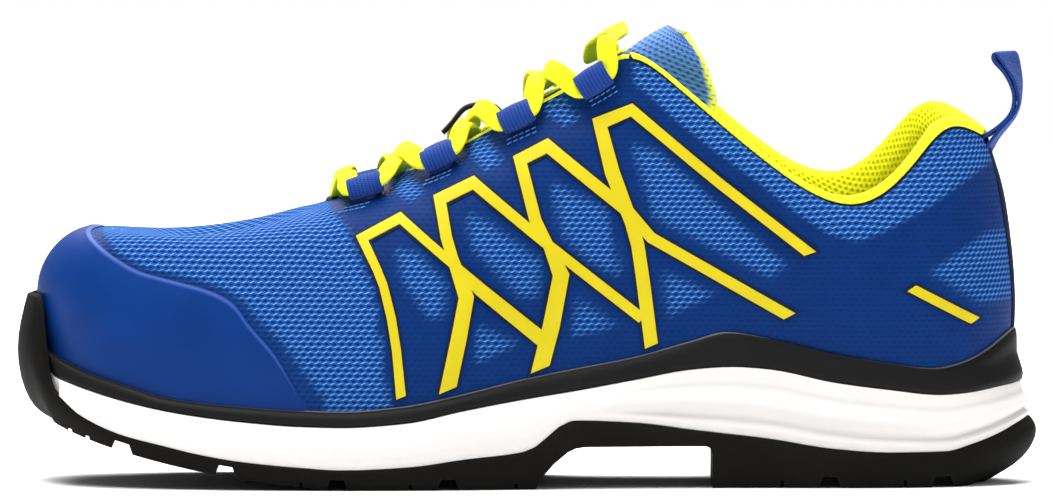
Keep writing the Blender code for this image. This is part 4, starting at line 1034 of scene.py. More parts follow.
@dataclass(frozen=True)
class MeshFinish:
    """Knitted mesh, pressed under a coloured film where no window leaves it open."""

    knit: KnitPattern = KnitPattern()
    film: Colour = (0.0026, 0.0255, 0.136)
    # Darker film: random mottle, and painted shade in the dimples over the knit's holes.
    film_dark: Colour = (0.0018, 0.0180, 0.098)
    # Strand colour: lighter thread partly, painted highlight on the strands partly.
    strand: Colour = (0.150, 0.360, 0.70)
    net: Colour = (0.0085, 0.066, 0.285)
    # Hole colour: the blue layer behind partly, painted shade in the openings partly.
    hole: Colour = (0.0018, 0.011, 0.065)
    seam: Colour = (0.005, 0.010, 0.030)

    def make(self) -> bpy.types.Material:
        """Mix film, knit and seam.

        Returns:
            The upper's material, from its window, seam and weave values.
        """
        recipe = Recipe("mesh_and_film")
        u, v = recipe.weave()
        reach, strand, lit_diagonal = self.knit.draw(u, v)
        opened = recipe.trait("open")
        solid = reach.ramp(0.72, 1.12)
        mottle = recipe.noise(160.0, 2.0)
        # Strands are painted lighter, most of all those climbing to the heel: a painted highlight on one
        # diagonal.
        net = recipe.mix(strand * (lit_diagonal * 0.7 + 0.3), self.net, self.strand)
        # Holes of the open knit take the hole colour: partly the layer behind, partly painted shade.
        knit = recipe.mix(solid, self.hole, net)
        # Film darkens over the holes beneath it (painted shade in the dimples) and with random mottle.
        film = recipe.mix(solid * 0.65 + mottle.ramp(0.3, 0.7) * 0.35, self.film_dark, self.film)
        colour = recipe.mix(opened, film, knit)
        colour = recipe.mix(recipe.trait("seam"), colour, self.seam)
        recipe.bump((solid + strand * 0.5) * (opened * 0.8 + 0.2) + mottle * 0.1, 0.00036)
        rough = opened * 0.3 + 0.46 + (1.0 - solid) * 0.06
        return recipe.finish(Base_Color=colour, Roughness=rough, Specular_IOR_Level=0.04)


@dataclass(frozen=True)
class FilmFinish:
    """Smooth satin film with a faint cloudy unevenness."""

    name: str
    colour: Colour
    shade: Colour
    roughness: float = 0.42
    shine: float = 0.3
    grain: float = 900.0
    depth: float = 0.00006

    def make(self) -> bpy.types.Material:
        """Mix the film.

        Returns:
            Its material.
        """
        recipe = Recipe(self.name)
        cloud = recipe.noise(45.0, 2.0)
        grain = recipe.noise(self.grain, 2.0)
        recipe.bump(grain, self.depth)
        return recipe.finish(Base_Color=recipe.mix(cloud.ramp(0.35, 0.65), self.shade, self.colour),
                             Roughness=cloud * 0.1 + (self.roughness - 0.05),
                             Specular_IOR_Level=self.shine)


@dataclass(frozen=True)
class ToeFilmFinish:
    """Satin film over the toe, with a painted highlight along its raised rear ridge, fading to knit behind
    it.
    """

    colour: Colour = (0.0026, 0.031, 0.170)
    shade: Colour = (0.0022, 0.026, 0.146)
    # Colour of the painted highlight along the ridge.
    ridge: Colour = (0.034, 0.088, 0.35)

    def make(self) -> bpy.types.Material:
        """Mix the film and the painted highlight on its ridge.

        Returns:
            The toe film's material, from its ridge value.
        """
        recipe = Recipe("toe_film")
        cloud = recipe.noise(38.0, 2.0)
        grain = recipe.noise(1400.0, 2.0)
        base = recipe.mix(cloud.ramp(0.35, 0.65), self.shade, self.colour)
        # Painted highlight along the ridge.
        colour = recipe.mix(recipe.trait("ridge") * 0.8, base, self.ridge)
        recipe.bump(grain, 0.00005)
        return recipe.finish(Base_Color=colour, Roughness=cloud * 0.08 + 0.44, Specular_IOR_Level=0.07)


@dataclass(frozen=True)
class WovenFinish:
    """Plain woven band: fine ribs along it and a beat across it, with painted shade in the weave's hollows.
    """

    name: str
    light: Colour
    dark: Colour
    rib: float = 0.0009
    beat: float = 0.0011
    depth: float = 0.00022
    roughness: float = 0.78
    sheen: float = 0.05

    def make(self) -> bpy.types.Material:
        """Weave the band.

        Returns:
            Its material.
        """
        recipe = Recipe(self.name)
        u, v = recipe.weave()
        column = u / self.rib
        rib = (column * math.pi).does("SINE").does("ABSOLUTE")
        shift = column.does("FLOOR") * 0.5
        beat = ((v / self.beat + shift) * math.pi).does("SINE").does("ABSOLUTE")
        height = (rib * beat).does("SQRT")
        cloud = recipe.noise(120.0, 2.0)
        # Colour follows the weave's height: painted shade in its hollows, with random tone.
        share = height.ramp(0.05, 0.75) * (cloud * 0.4 + 0.75)
        recipe.bump(height, self.depth)
        return recipe.finish(Base_Color=recipe.mix(share, self.dark, self.light), Roughness=self.roughness,
                             Sheen_Weight=self.sheen, Specular_IOR_Level=0.1)


@dataclass(frozen=True)
class LiningFinish:
    """Soft knitted lining with rows of small dimples, darkened by painted shade."""

    name: str
    light: Colour
    dark: Colour
    pitch: float = 0.0018
    row: float = 0.0014

    def make(self) -> bpy.types.Material:
        """Knit the lining.

        Returns:
            Its material.
        """
        recipe = Recipe(self.name)
        u, v = recipe.weave()
        reach, _, _ = KnitPattern(self.pitch, self.row, 0.30, 0.28).draw(u, v)
        solid = reach.ramp(0.4, 1.5)
        fuzz = recipe.noise(1800.0, 3.0)
        recipe.bump(solid * 0.8 + fuzz * 0.35, 0.0003)
        # Dimples take the dark colour: painted shade in them.
        return recipe.finish(Base_Color=recipe.mix(solid, self.dark, self.light), Roughness=0.9,
                             Sheen_Weight=0.04, Specular_IOR_Level=0.06)


@dataclass(frozen=True)
class RubberFinish:
    """Moulded rubber or foam with a fine grain and a little dust."""

    name: str
    colour: Colour
    dusty: Colour
    roughness: float
    grain: float = 1500.0
    depth: float = 0.00008
    shine: float = 0.3

    def make(self) -> bpy.types.Material:
        """Mix the rubber.

        Returns:
            Its material.
        """
        recipe = Recipe(self.name)
        cloud = recipe.noise(30.0, 4.0)
        grain = recipe.noise(self.grain, 2.0)
        recipe.bump(grain, self.depth)
        return recipe.finish(Base_Color=recipe.mix(cloud.ramp(0.45, 0.8) * 0.5, self.colour, self.dusty),
                             Roughness=cloud * 0.14 + (self.roughness - 0.07),
                             Specular_IOR_Level=self.shine)


@dataclass(frozen=True)
class FoamFinish:
    """White moulded foam, greyer with painted shade along its grooves."""

    colour: Colour = (0.70, 0.675, 0.665)
    dusty: Colour = (0.67, 0.64, 0.63)
    # Colour of the painted shade along the grooves.
    groove: Colour = (0.50, 0.48, 0.47)

    def make(self) -> bpy.types.Material:
        """Mix the foam.

        Returns:
            Its material, from its groove value.
        """
        recipe = Recipe("midsole_foam")
        cloud = recipe.noise(30.0, 4.0)
        base = recipe.mix(cloud.ramp(0.45, 0.8) * 0.6, self.colour, self.dusty)
        recipe.bump(recipe.noise(700.0, 2.0), 0.00005)
        # Painted shade along the grooves.
        return recipe.finish(Base_Color=recipe.mix(recipe.trait("groove"), base, self.groove),
                             Roughness=cloud * 0.14 + 0.45, Specular_IOR_Level=0.2)


class Wardrobe:
    """Every finish of the shoe, made once."""

    def __init__(self) -> None:
        """Make the materials."""
        self.upper = MeshFinish().make()
        self.toe = ToeFilmFinish().make()
        self.strip = FilmFinish("strip_film", (0.59, 0.49, 0.012), (0.55, 0.45, 0.010), 0.5, 0.1).make()
        # Dark sheet under the strips: a painted shadow round their edges.
        self.outline = FilmFinish("strip_edge", (0.007, 0.014, 0.045), (0.005, 0.010, 0.035), 0.6,
                                  0.1).make()
        self.lining = LiningFinish("collar_lining", (0.95, 0.97, 0.020), (0.64, 0.60, 0.004)).make()
        self.piping = LiningFinish("collar_piping", (0.95, 0.96, 0.030), (0.90, 0.90, 0.022)).make()
        self.inside = LiningFinish("inner_lining", (0.030, 0.032, 0.040), (0.010, 0.011, 0.014)).make()
        self.lace = WovenFinish("lace_weave", (0.80, 0.85, 0.018), (0.66, 0.66, 0.012),
                                0.0006, 0.0009, 0.00006, 0.85, 0.03).make()
        self.webbing = WovenFinish("loop_webbing", (0.011, 0.052, 0.27), (0.003, 0.014, 0.09),
                                   0.0011, 0.0006, 0.00016).make()
        self.navy = WovenFinish("heel_webbing", (0.005, 0.009, 0.034), (0.002, 0.003, 0.012),
                                sheen=0.0).make()
        self.keeper = WovenFinish("keeper_webbing", (0.014, 0.013, 0.013), (0.004, 0.004, 0.004)).make()
        self.thread = FilmFinish("stitch_thread", (0.10, 0.24, 0.55), (0.06, 0.17, 0.45), 0.7, 0.1).make()
        self.rubber = RubberFinish("outsole_rubber", (0.0072, 0.0068, 0.0064), (0.014, 0.013, 0.012), 0.7,
                                   shine=0.03).make()
        self.frame = RubberFinish("rand_satin", (0.0085, 0.0080, 0.0080), (0.014, 0.013, 0.013), 0.52, 900.0,
                                  0.00004, 0.08).make()
        # Grey bead: a painted highlight along the top of the black rand.
        self.bead = RubberFinish("rand_bead", (0.06, 0.06, 0.065), (0.10, 0.10, 0.11), 0.34).make()
        self.foam = FoamFinish().make()
        self.felt = RubberFinish("footbed_felt", (0.022, 0.023, 0.026), (0.045, 0.046, 0.05), 0.92, 900.0,
                                 0.0004).make()


@dataclass
class Piece:
    """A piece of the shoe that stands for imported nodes."""

    form: LastForm
    wardrobe: Wardrobe
    slot: ClassVar[str] = ""

    def dress(self, item: bpy.types.Object, *materials: bpy.types.Material) -> bpy.types.Object:
        """Give an object its materials.

        Args:
            item: Mesh object.
            *materials: Its materials, first one first.

        Returns:
            The same object.
        """
        item.data.materials.clear()
        for material in materials:
            item.data.materials.append(material)
        return item

    def enter(self, item: bpy.types.Object, nodes: Sequence[str] = (), slot: str = "") -> None:
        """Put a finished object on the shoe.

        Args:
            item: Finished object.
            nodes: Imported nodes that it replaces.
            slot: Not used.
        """
        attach(item, BODY)
        if nodes:
            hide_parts(*nodes)
        LOG.info("%s: %d faces", item.name, len(item.data.polygons))

    def complete(self, item: bpy.types.Object, degrees: float, material: bpy.types.Material,
                 *nodes: str) -> None:
        """Smooth, dress and enter an object.

        Args:
            item: Modelled object.
            degrees: Angle over which an edge stays sharp.
            material: Its material.
            *nodes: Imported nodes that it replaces.
        """
        Bench.smooth(item, degrees)
        self.dress(item, material)
        self.enter(item, nodes)

    def build(self) -> None:
        """Model, dress and enter the piece."""
        raise NotImplementedError


class SoleRing(NamedTuple):
    """A ring of the outsole, with its insets and heights on the side, at the toe and at the heel."""

    side_in: float
    side_up: float
    toe_in: float
    toe_z: float
    heel_in: float
    heel_up: float


class Groove(NamedTuple):
    """A transverse groove of the tread: place, widths at mouth and root, depth and sweep."""

    along: float
    mouth: float
    root: float
    depth: float
    sweep: float


class Channel(NamedTuple):
    """A channel along the tread: its width, its depth and the points that it runs through."""

    width: float
    depth: float
    path: Rows


@dataclass
class Outsole(Piece):
    """Rubber outsole with toe bumper, tread grooves, arch tunnel and heel."""

    slot: ClassVar[str] = "outsole_rubber"
    half: int = 110
    profile: tuple[SoleRing, ...] = (
        SoleRing(2.2, 0.0, 10.0, 18.2, 15.0, 0.0),
        SoleRing(0.9, 0.40, 3.4, 24.0, 4.2, 0.36),
        SoleRing(0.2, 0.80, 0.0, 38.5, 0.0, 0.76),
        SoleRing(0.5, 1.0, 2.9, 54.8, 2.0, 1.0),
    )
    rim: SoleRing = SoleRing(2.4, 1.0, 4.6, 55.4, 4.2, 1.0)
    cup_depth: float = 0.8
    grooves: tuple[Groove, ...] = (
        Groove(30.5, 7.7, 4.0, 3.0, 5.0), Groove(60.3, 7.7, 4.0, 3.2, 6.0),
        Groove(92.6, 7.7, 4.0, 3.2, 6.0), Groove(125.0, 7.7, 4.0, 3.2, 6.0),
        Groove(240.0, 7.7, 4.0, 3.4, -5.0), Groove(273.0, 7.7, 4.0, 3.4, -5.0),
        Groove(82.0, 1.6, 0.8, 1.6, 6.0), Groove(114.0, 1.6, 0.8, 1.8, 6.0),
        Groove(145.0, 1.6, 0.8, 1.8, 6.0), Groove(226.0, 1.6, 0.8, 2.2, -5.0),
        Groove(262.0, 1.6, 0.8, 2.2, -5.0),
        Groove(15.5, 1.8, 0.9, 1.4, 5.0), Groove(20.5, 1.8, 0.9, 1.4, 5.0),
    )
    channels: tuple[Channel, ...] = (
        Channel(5.0, 3.0, ((44.0, 1.0), (62.0, 0.6), (80.0, 0.0), (98.0, -1.0), (144.0, -4.0))),
        Channel(5.0, 3.2, ((212.0, -2.4), (291.0, 0.0))),
    )
    mouth_drop: float = 2.0
    reach: float = 70.0
    tunnel: Rows = (
        (152.0, -1.0), (152.6, 0.0), (155.0, 4.0), (158.0, 7.4), (162.0, 10.8), (164.4, 11.9),
        (167.0, 12.3), (202.4, 12.3), (203.8, 11.7), (204.4, 10.3), (204.4, -1.0),
    )
    ring_count: int = 13
    slope_reach: float = 3.0
    channel_root: float = 0.7

    def rings(self) -> Array:
        """Rings of the rubber.

        Returns:
            Rings from the middle of the tread round the rim to the middle of the cup.
        """
        q = self.form.places(self.half)
        x = self.form.outline(q)[0][:, 0]
        toe = self.form.toe_weight(q)
        heel = self.form.heel_weight(q)
        tread = self.form.level("tread", x)
        foxing = self.form.level("foxing", x)
        places = np.linspace(0.0, len(self.profile) - 1.0, self.ring_count)
        rows = spline(range(len(self.profile)), np.array(self.profile), places)
        rings = []
        for row in [SoleRing(*row) for row in rows] + [self.rim]:
            inset = row.side_in + (row.heel_in - row.side_in) * heel
            height = tread + (foxing - tread) * (row.side_up + (row.heel_up - row.side_up) * heel)
            inset = inset + (row.toe_in - inset) * toe
            rings.append(self.form.ring(q, inset, height + (row.toe_z - height) * toe))
        cup = rings[-1].copy()
        cup[:, 2] = foxing - self.cup_depth
        bottom = Bench.to_middle(rings[0], (1.0, 0.85, 0.5))
        return np.stack(bottom + rings + [cup] + Bench.to_middle(cup, (0.5, 1.0)))

    def section(self, mouth: float, root: float, depth: float) -> tuple[tuple[float, float], ...]:
        """Offsets and heights of a groove's corners, wider at its mouth."""
        drop = -self.mouth_drop
        return (-0.5 * mouth, drop), (-0.5 * root, depth), (0.5 * root, depth), (0.5 * mouth, drop)

    def groove_tool(self, groove: Groove) -> bpy.types.Object:
        """A bent bar across the tread.

        Args:
            groove: Groove to cut.

        Returns:
            The bar.
        """
        x = groove.along - 0.5 * self.form.length
        floor = float(self.form.level("tread", x))
        reach = max(groove.root, self.slope_reach)
        rise = float(self.form.level("tread", x + reach) - self.form.level("tread", x - reach))
        slope = rise / (2.0 * reach)
        sections = []
        for across, shift in ((-self.reach, groove.sweep), (0.0, 0.0), (self.reach, groove.sweep)):
            corners = self.section(groove.mouth, groove.root, groove.depth)
            steps = [(offset + 0.5 * shift, up) for offset, up in corners]
            sections.append([(x + step, across, floor + up + slope * step) for step, up in steps])
        return Bench.loft("groove_tool", np.array(sections))

    def channel_tool(self, channel: Channel) -> bpy.types.Object:
        """A bar along the tread that follows its rise to the toe.

        Args:
            channel: Channel to cut.

        Returns:
            The bar.
        """
        sections = []
        for along, across in channel.path:
            x = along - 0.5 * self.form.length
            floor = float(self.form.level("tread", x))
            corners = self.section(channel.width, self.channel_root * channel.width, channel.depth)
            sections.append([(x, across + offset, floor + up) for offset, up in corners])
        return Bench.loft("channel_tool", np.array(sections))

    def tunnel_tool(self) -> bpy.types.Object:
        """A bar of the arch tunnel's section."""
        ends = [[(along - 0.5 * self.form.length, across, up) for along, up in self.tunnel]
                for across in (-self.reach, self.reach)]
        return Bench.loft("tunnel_tool", np.array(ends))

    def build(self) -> None:
        """Loft the rubber and cut its tread."""
        item = Bench.loft("outsole_form", self.rings(), fill=False)
        for groove in self.grooves:
            Bench.boolean(item, self.groove_tool(groove), "DIFFERENCE")
        for channel in self.channels:
            Bench.boolean(item, self.channel_tool(channel), "DIFFERENCE")
        Bench.boolean(item, self.tunnel_tool(), "DIFFERENCE")
        self.complete(item, 32.0, self.wardrobe.rubber, "outsole")


@dataclass
class Midsole(Piece):
    """White foam cup, smooth in front and stepped from the arch to the heel."""

    slot: ClassVar[str] = "midsole_foam"
    half: int = 130
    shares: Floats = (0.0, 0.11, 0.235, 0.47, 0.74, 1.0)
    front_in: Floats = (0.8, 0.5, 0.5, 0.8, 1.7, 3.0)
    rear_in: Floats = (1.0, 0.7, 2.1, 0.5, 2.6, 3.2)
    rib_fade: Floats = (168.0, 192.0)
    groove_shares: Floats = (0.225, 0.745)
    groove_reach: float = 0.05
    # Strength of the painted shade along the grooves.
    groove_shade: float = 0.4
    heel_extra: float = 1.5
    gap: float = 0.3
    clearance: float = 0.6
    bumper_reach: float = 3.0
    bumper_clearance: float = 0.4
    bumper_fade: float = 1.5
    foot_extra: float = 0.5
    ring_count: int = 45

    def behind_bumper(self, q: Array) -> Array:
        """Inset that keeps the foam behind the toe bumper.

        Args:
            q: Places round the shoe.

        Returns:
            The least inset at each place.
        """
        reach = self.form.toe_reach(q)
        start, end = self.form.toe_fade
        behind = 1.0 - smoothstep(start + self.bumper_reach, end + self.bumper_reach, reach)
        near = 1.0 - smoothstep(end, end + self.bumper_fade * self.bumper_reach, reach)
        rim = Outsole.rim
        return near * (rim.side_in + (rim.toe_in - rim.side_in) * behind + self.bumper_clearance)

    def build(self) -> None:
        """Loft the foam from its foot to the bed under the upper."""
        q = self.form.places(self.half)
        x = self.form.outline(q)[0][:, 0]
        heel = self.form.heel_weight(q)
        low = self.form.level("foxing", x) + self.gap
        high = self.form.level("rand_foot", x)
        ribbed = smoothstep(*self.rib_fade, x + 0.5 * self.form.length)
        behind = self.behind_bumper(q)
        rim = Outsole.rim
        foot_in = rim.side_in + (rim.heel_in - rim.side_in) * heel + self.foot_extra
        foot_in = np.maximum(foot_in, behind)
        foot = self.form.ring(q, foot_in, low - Outsole.cup_depth)
        rings = Bench.to_middle(foot, (1.0, 0.5, 0.0)) + [self.form.ring(q, foot_in, low)]
        grooves = [np.zeros(len(q))] * len(rings)
        for share in np.linspace(0.0, 1.0, self.ring_count):
            front = float(monotone(self.shares, self.front_in, share))
            rear = float(monotone(self.shares, self.rear_in, share))
            inset = front + (rear - front) * ribbed + self.heel_extra * heel
            rings.append(self.form.ring(q, np.maximum(inset, behind), low + (high - low) * share))
            steps = [(share - place) / self.groove_reach for place in self.groove_shares]
            # Painted shade along the grooves, on the ribbed part.
            grooves.append(self.groove_shade * sum(math.exp(-step ** 2) for step in steps) * ribbed)
        rings.append(self.form.beside_upper(q, high, self.clearance))
        bed = self.form.beside_upper(q, self.form.level("bed", x), self.clearance)
        rings += Bench.to_middle(bed, (0.0, 0.5, 1.0))
        grooves += [np.zeros(len(q))] * (len(rings) - len(grooves))
        item = Bench.loft("midsole_form", np.stack(rings), fill=False, traits={"groove": np.stack(grooves)})
        self.complete(item, 45.0, self.wardrobe.foam, "midsole")


@dataclass
class Rand(Piece):
    """Black frame over the joint of upper and midsole, with a thin bead along its top, grey as a painted
    highlight.
    """

    slot: ClassVar[str] = "rand_frame"
    half: int = 150
    shares: Floats = (0.0, 0.06, 0.45, 0.86, 0.97)
    side_in: Floats = (3.5, 3.1, 3.3, 4.3, 5.0)
    heel_in: Floats = (4.2, 3.8, 5.3, 7.2, 8.0)
    least_wall: Floats = (1.4, 1.8, 1.8, 1.2, 0.7)
    clearance: float = 0.35
    bead_radius: float = 0.38
    face_share: float = 0.86
    face_rings: int = 9
    lip_shares: Floats = (0.92, 0.955, 0.97)
    back_shares: Floats = (0.99, 0.5, 0.0)

    def build(self) -> None:
        """Loft the frame and the bead."""
        q = self.form.places(self.half)
        points, outward = self.form.outline(q)
        heel = self.form.heel_weight(q)
        foot = self.form.level("rand_foot", points[:, 0]) + Midsole.gap
        top = self.form.level("rand_top", points[:, 0])
        behind = Midsole(self.form, self.wardrobe).behind_bumper(q)
        rings = []
        for share in np.concatenate([np.linspace(0.0, self.face_share, self.face_rings), self.lip_shares]):
            side_in = float(monotone(self.shares, self.side_in, share))
            heel_in = float(monotone(self.shares, self.heel_in, share))
            least = float(np.interp(share, self.shares, self.least_wall))
            ring = self.form.ring(q, np.maximum(side_in + (heel_in - side_in) * heel, behind),
                                  foot + (top - foot) * share)
            inner = self.form.beside_upper(q, ring[:, 2], self.clearance)
            wall = ((ring - inner)[:, :2] * outward).sum(axis=1)
            ring[:, :2] += outward * np.maximum(least - wall, 0.0)[:, None]
            rings.append(ring)
        for share in self.back_shares:
            rings.append(self.form.beside_upper(q, foot + (top - foot) * share, self.clearance))
        item = Bench.loft("rand_form", np.stack(rings), round_again=True)
        self.complete(item, 50.0, self.wardrobe.frame, "rand")
        seat = self.form.beside_upper(q, top * 0.99 + foot * 0.01, self.clearance)
        angle = np.linspace(0.0, 2.0 * math.pi, 8, endpoint=False)
        side = np.column_stack([outward, np.zeros(len(q))])
        bead = (seat[:, None] + side[:, None] * np.cos(angle)[None, :, None] * self.bead_radius
                + np.sin(angle)[None, :, None] * np.array((0.0, 0.0, self.bead_radius)))
        # The bead's grey colour is a painted highlight.
        line = Bench.loft("rand_bead", bead, round_again=True)
        self.complete(line, 80.0, self.wardrobe.bead)


@dataclass
class Upper(Piece):
    """Hollow upper: knitted mesh with film over most of the side."""

    slot: ClassVar[str] = "upper_mesh"
    half: int = 190
    rows: int = 110
    wall: float = 2.0
    weave_turn: float = 45.0
    level_slope: float = 1.2
    slice_step: float = 0.5
    seam_reach: Floats = (1.6, 2.1)
    veil_share: float = 0.94
    veil_up: Floats = (28.0, 66.0)
    veil_wide: Floats = (5.6, 1.5)
    veil_fade: float = 0.8
    crease_below: Floats = (0.0, 6.0)
    crease_share: Floats = (0.12, 0.3)
    collar_along: Floats = (178.0, 182.0)

    def side_sheet(self, side: Side) -> bpy.types.Object:
        """One half of the outer face.

        Args:
            side: Side of the foot.

        Returns:
            The half, with its weave coordinates and traits.
        """
        q = self.form.places(self.half)[:self.half + 1]
        if side is Side.INNER:
            q = 2.0 * self.form.half_way - q
        t = np.linspace(0.0, 1.0, self.rows)
        weights = spline(self.form.rib_knots, np.eye(len(self.form.rib_knots)), t)
        points = np.einsum("tk,kqc->tqc", weights, self.form.rib_controls(q))
        shape = points.shape[:2]
        outward = unit(np.cross(np.gradient(points, axis=1), np.gradient(points, axis=0)))
        third = self.rows // 3
        if (outward[third, :, :2] * points[third, :, :2]).sum(axis=1).mean() < 0.0:
            outward = -outward
        along = points[:, :, 0] + 0.5 * self.form.length
        spots = np.column_stack([along.ravel(), points[:, :, 2].ravel()])
        opened = np.zeros(len(spots))
        for window in WINDOWS:
            depth = polygon_depth(window.corners, spots)
            opened = np.maximum(opened, window.light * smoothstep(-window.fade, window.fade, depth))
        opened *= 1.0 - self.veil_share * self.veil(spots)
        lift = np.zeros(len(spots))
        for crease in CREASES:
            distance = segment_distance(np.array(crease.start), np.array(crease.end), spots)
            lift += crease.height * np.exp(-(distance / crease.reach) ** 2)
        below = travel(points[::-1])[::-1]
        lift = lift.reshape(shape) * smoothstep(*self.crease_below, below)
        lift *= smoothstep(*self.crease_share, t)[:, None]
        seam = 1.0 - smoothstep(*self.seam_reach, below)
        collar = smoothstep(*self.collar_along, along[-1])
        traits = {"open": opened.reshape(shape), "seam": seam * collar[None, :]}
        raised = points + outward * lift[:, :, None]
        return Bench.grid(f"upper_{side.word}", raised, self.weave(points), traits)

    def veil(self, spots: Array) -> Array:
        """Strip along the toe film's rear edge, where thinner film still covers the knit.

        Args:
            spots: Points in side view.

        Returns:
            1 in the strip and 0 away from it, for each point.
        """
        edge = np.array((ToeCap.crown,) + ToeCap.edge)
        nearest = np.min([segment_distance(a, b, spots) for a, b in zip(edge, edge[1:])], axis=0)
        wide = np.interp(spots[:, 1], self.veil_up, self.veil_wide)
        return 1.0 - smoothstep(-self.veil_fade, self.veil_fade, nearest - wide)

    def weave(self, points: Array) -> Array:
        """Weave coordinates: rows level on the side, and evenly spread over the top of the foot.

        Args:
            points: Rows of points from the feather line to the edge.

        Returns:
            Two coordinates in metres for each point.
        """
        slices = np.arange(self.slice_step - 0.5 * self.form.length, self.weave_turn + self.slice_step,
                           self.slice_step)
        spread = np.zeros(len(slices))
        last = None
        uv = np.zeros(points.shape[:2] + (2,))
        for r, row in enumerate(points):
            x = np.maximum.accumulate(row[:, 0])
            across = np.abs(row[:, 1] - self.form.instep_line(row[:, 0]))
            here = np.column_stack([np.interp(slices, x, across), np.interp(slices, x, row[:, 2])])
            seen = slices >= x[0]
            if last is not None:
                step = here - last
                far = np.hypot(*step.T)
                rising = np.maximum(far - self.level_slope * step[:, 1], 0.0)
                spread = spread + seen * np.where(step[:, 1] < 0.0, far - step[:, 1], rising)
            last = here
            first = int(np.argmax(seen))
            short = np.where(row[:, 0] < slices[first], np.maximum(here[first, 0] - across, 0.0), 0.0)
            run = travel(row[:, :2])
            turn = np.interp(self.weave_turn, x, run)
            uv[r, :, 0] = np.where(row[:, 0] < self.weave_turn, row[:, 0], self.weave_turn + run - turn)
            uv[r, :, 1] = row[:, 2] + np.interp(row[:, 0], slices[seen], spread[seen]) + short
        return uv * MM

    def build(self) -> None:
        """Join both halves and give them their wall."""
        item = Bench.join("upper_skin", [self.side_sheet(Side.OUTER), self.side_sheet(Side.INNER)])
        Bench.weld(item)
        face = item.data.polygons[0]
        if Vector(face.normal).xy.dot(Vector(face.center).xy) < 0.0:
            item.data.flip_normals()
        self.dress(item, self.wardrobe.upper, self.wardrobe.inside)
        Bench.modify(item, "SOLIDIFY", thickness=self.wall * MM, offset=-1.0, use_rim=True,
                     use_even_offset=False, material_offset=1, material_offset_rim=0)
        Bench.smooth(item, 60.0)
        self.enter(item, ("upper",))


@dataclass
class ToeCap(Piece):
    """Film over the protective toe, with a raised ridge along its rear edge."""

    slot: ClassVar[str] = "toe_film"
    crown: Floats = (22.6, 74.7)
    crown_share: float = 0.545
    edge: Rows = (
        (29.7, 66.9), (38.2, 62.7), (46.8, 60.6), (55.4, 58.5), (61.8, 56.0), (65.3, 53.5), (68.9, 48.6),
        (76.8, 39.4), (83.2, 28.7), (86.0, 24.4),
    )
    half: int = 120
    rows: int = 70
    thickness: float = 0.55
    ridge: float = 0.22
    foot_gap: float = 0.2
    least_rise: float = 0.02
    seat_gap: float = 0.12
    edge_share: float = 0.25
    edge_fall: float = 1.2
    ridge_back: float = 0.9
    ridge_reach: float = 0.55
    ridge_fade: float = 10.0
    film: float = 0.3

    def rear_edge(self, reach: Array) -> tuple[Array, float]:
        """The film's rear edge.

        Args:
            reach: Distances from the toe tip round the shoe.

        Returns:
            Share of the rib at each distance, and how far round the toe the film reaches.
        """
        along, up = np.array(self.edge).T
        q, t = self.form.side_place(along, up, Side.OUTER)
        knots = np.maximum.accumulate(np.concatenate([[0.0], q]) + 1e-3 * np.arange(len(q) + 1))
        return monotone(knots, np.concatenate([[self.crown_share], t]), reach), float(knots[-1])

    def build(self) -> None:
        """Lay the film on the upper and raise its ridge."""
        form = self.form
        end = self.rear_edge(np.zeros(1))[1]
        half = np.linspace(0.0, end, self.half + 1)
        q = np.concatenate([-half[:0:-1], half])
        wrapped = np.mod(q, 2.0 * form.half_way)
        x = form.outline(wrapped)[0][:, 0]
        foot = form.share_at_height(wrapped, form.level("rand_top", x) + self.foot_gap)
        top = np.maximum(self.rear_edge(np.abs(q))[0], foot + self.least_rise)
        rows = np.linspace(0.0, 1.0, self.rows)
        t_rows = foot[None, :] + (top - foot)[None, :] * rows[:, None]
        q_rows = np.broadcast_to(wrapped, t_rows.shape)
        point, outward = form.frame(q_rows.ravel(), t_rows.ravel())
        point = point.reshape(t_rows.shape + (3,))
        outward = outward.reshape(t_rows.shape + (3,))
        back = travel(point[::-1])[::-1]
        left = (end - np.abs(q))[None, :]
        ridge = np.exp(-((back - self.ridge_back) / self.ridge_reach) ** 2)
        ridge = ridge * smoothstep(0.0, self.ridge_fade, left)
        fall = smoothstep(0.0, self.edge_fall, np.minimum(back, left))
        cover = self.thickness * (self.edge_share + (1.0 - self.edge_share) * fall)
        lift = self.seat_gap + cover + self.ridge * ridge
        uv = np.stack([point[:, :, 0], point[:, :, 1]], axis=2) * MM
        item = Bench.grid("toe_film", point + outward * lift[:, :, None], uv, {"ridge": ridge})
        if item.data.polygons[self.half].normal.x > 0.0:
            item.data.flip_normals()
        Bench.modify(item, "SOLIDIFY", thickness=self.film * MM, offset=-1.0, use_rim=True)
        self.complete(item, 60.0, self.wardrobe.toe, "toe_cap")


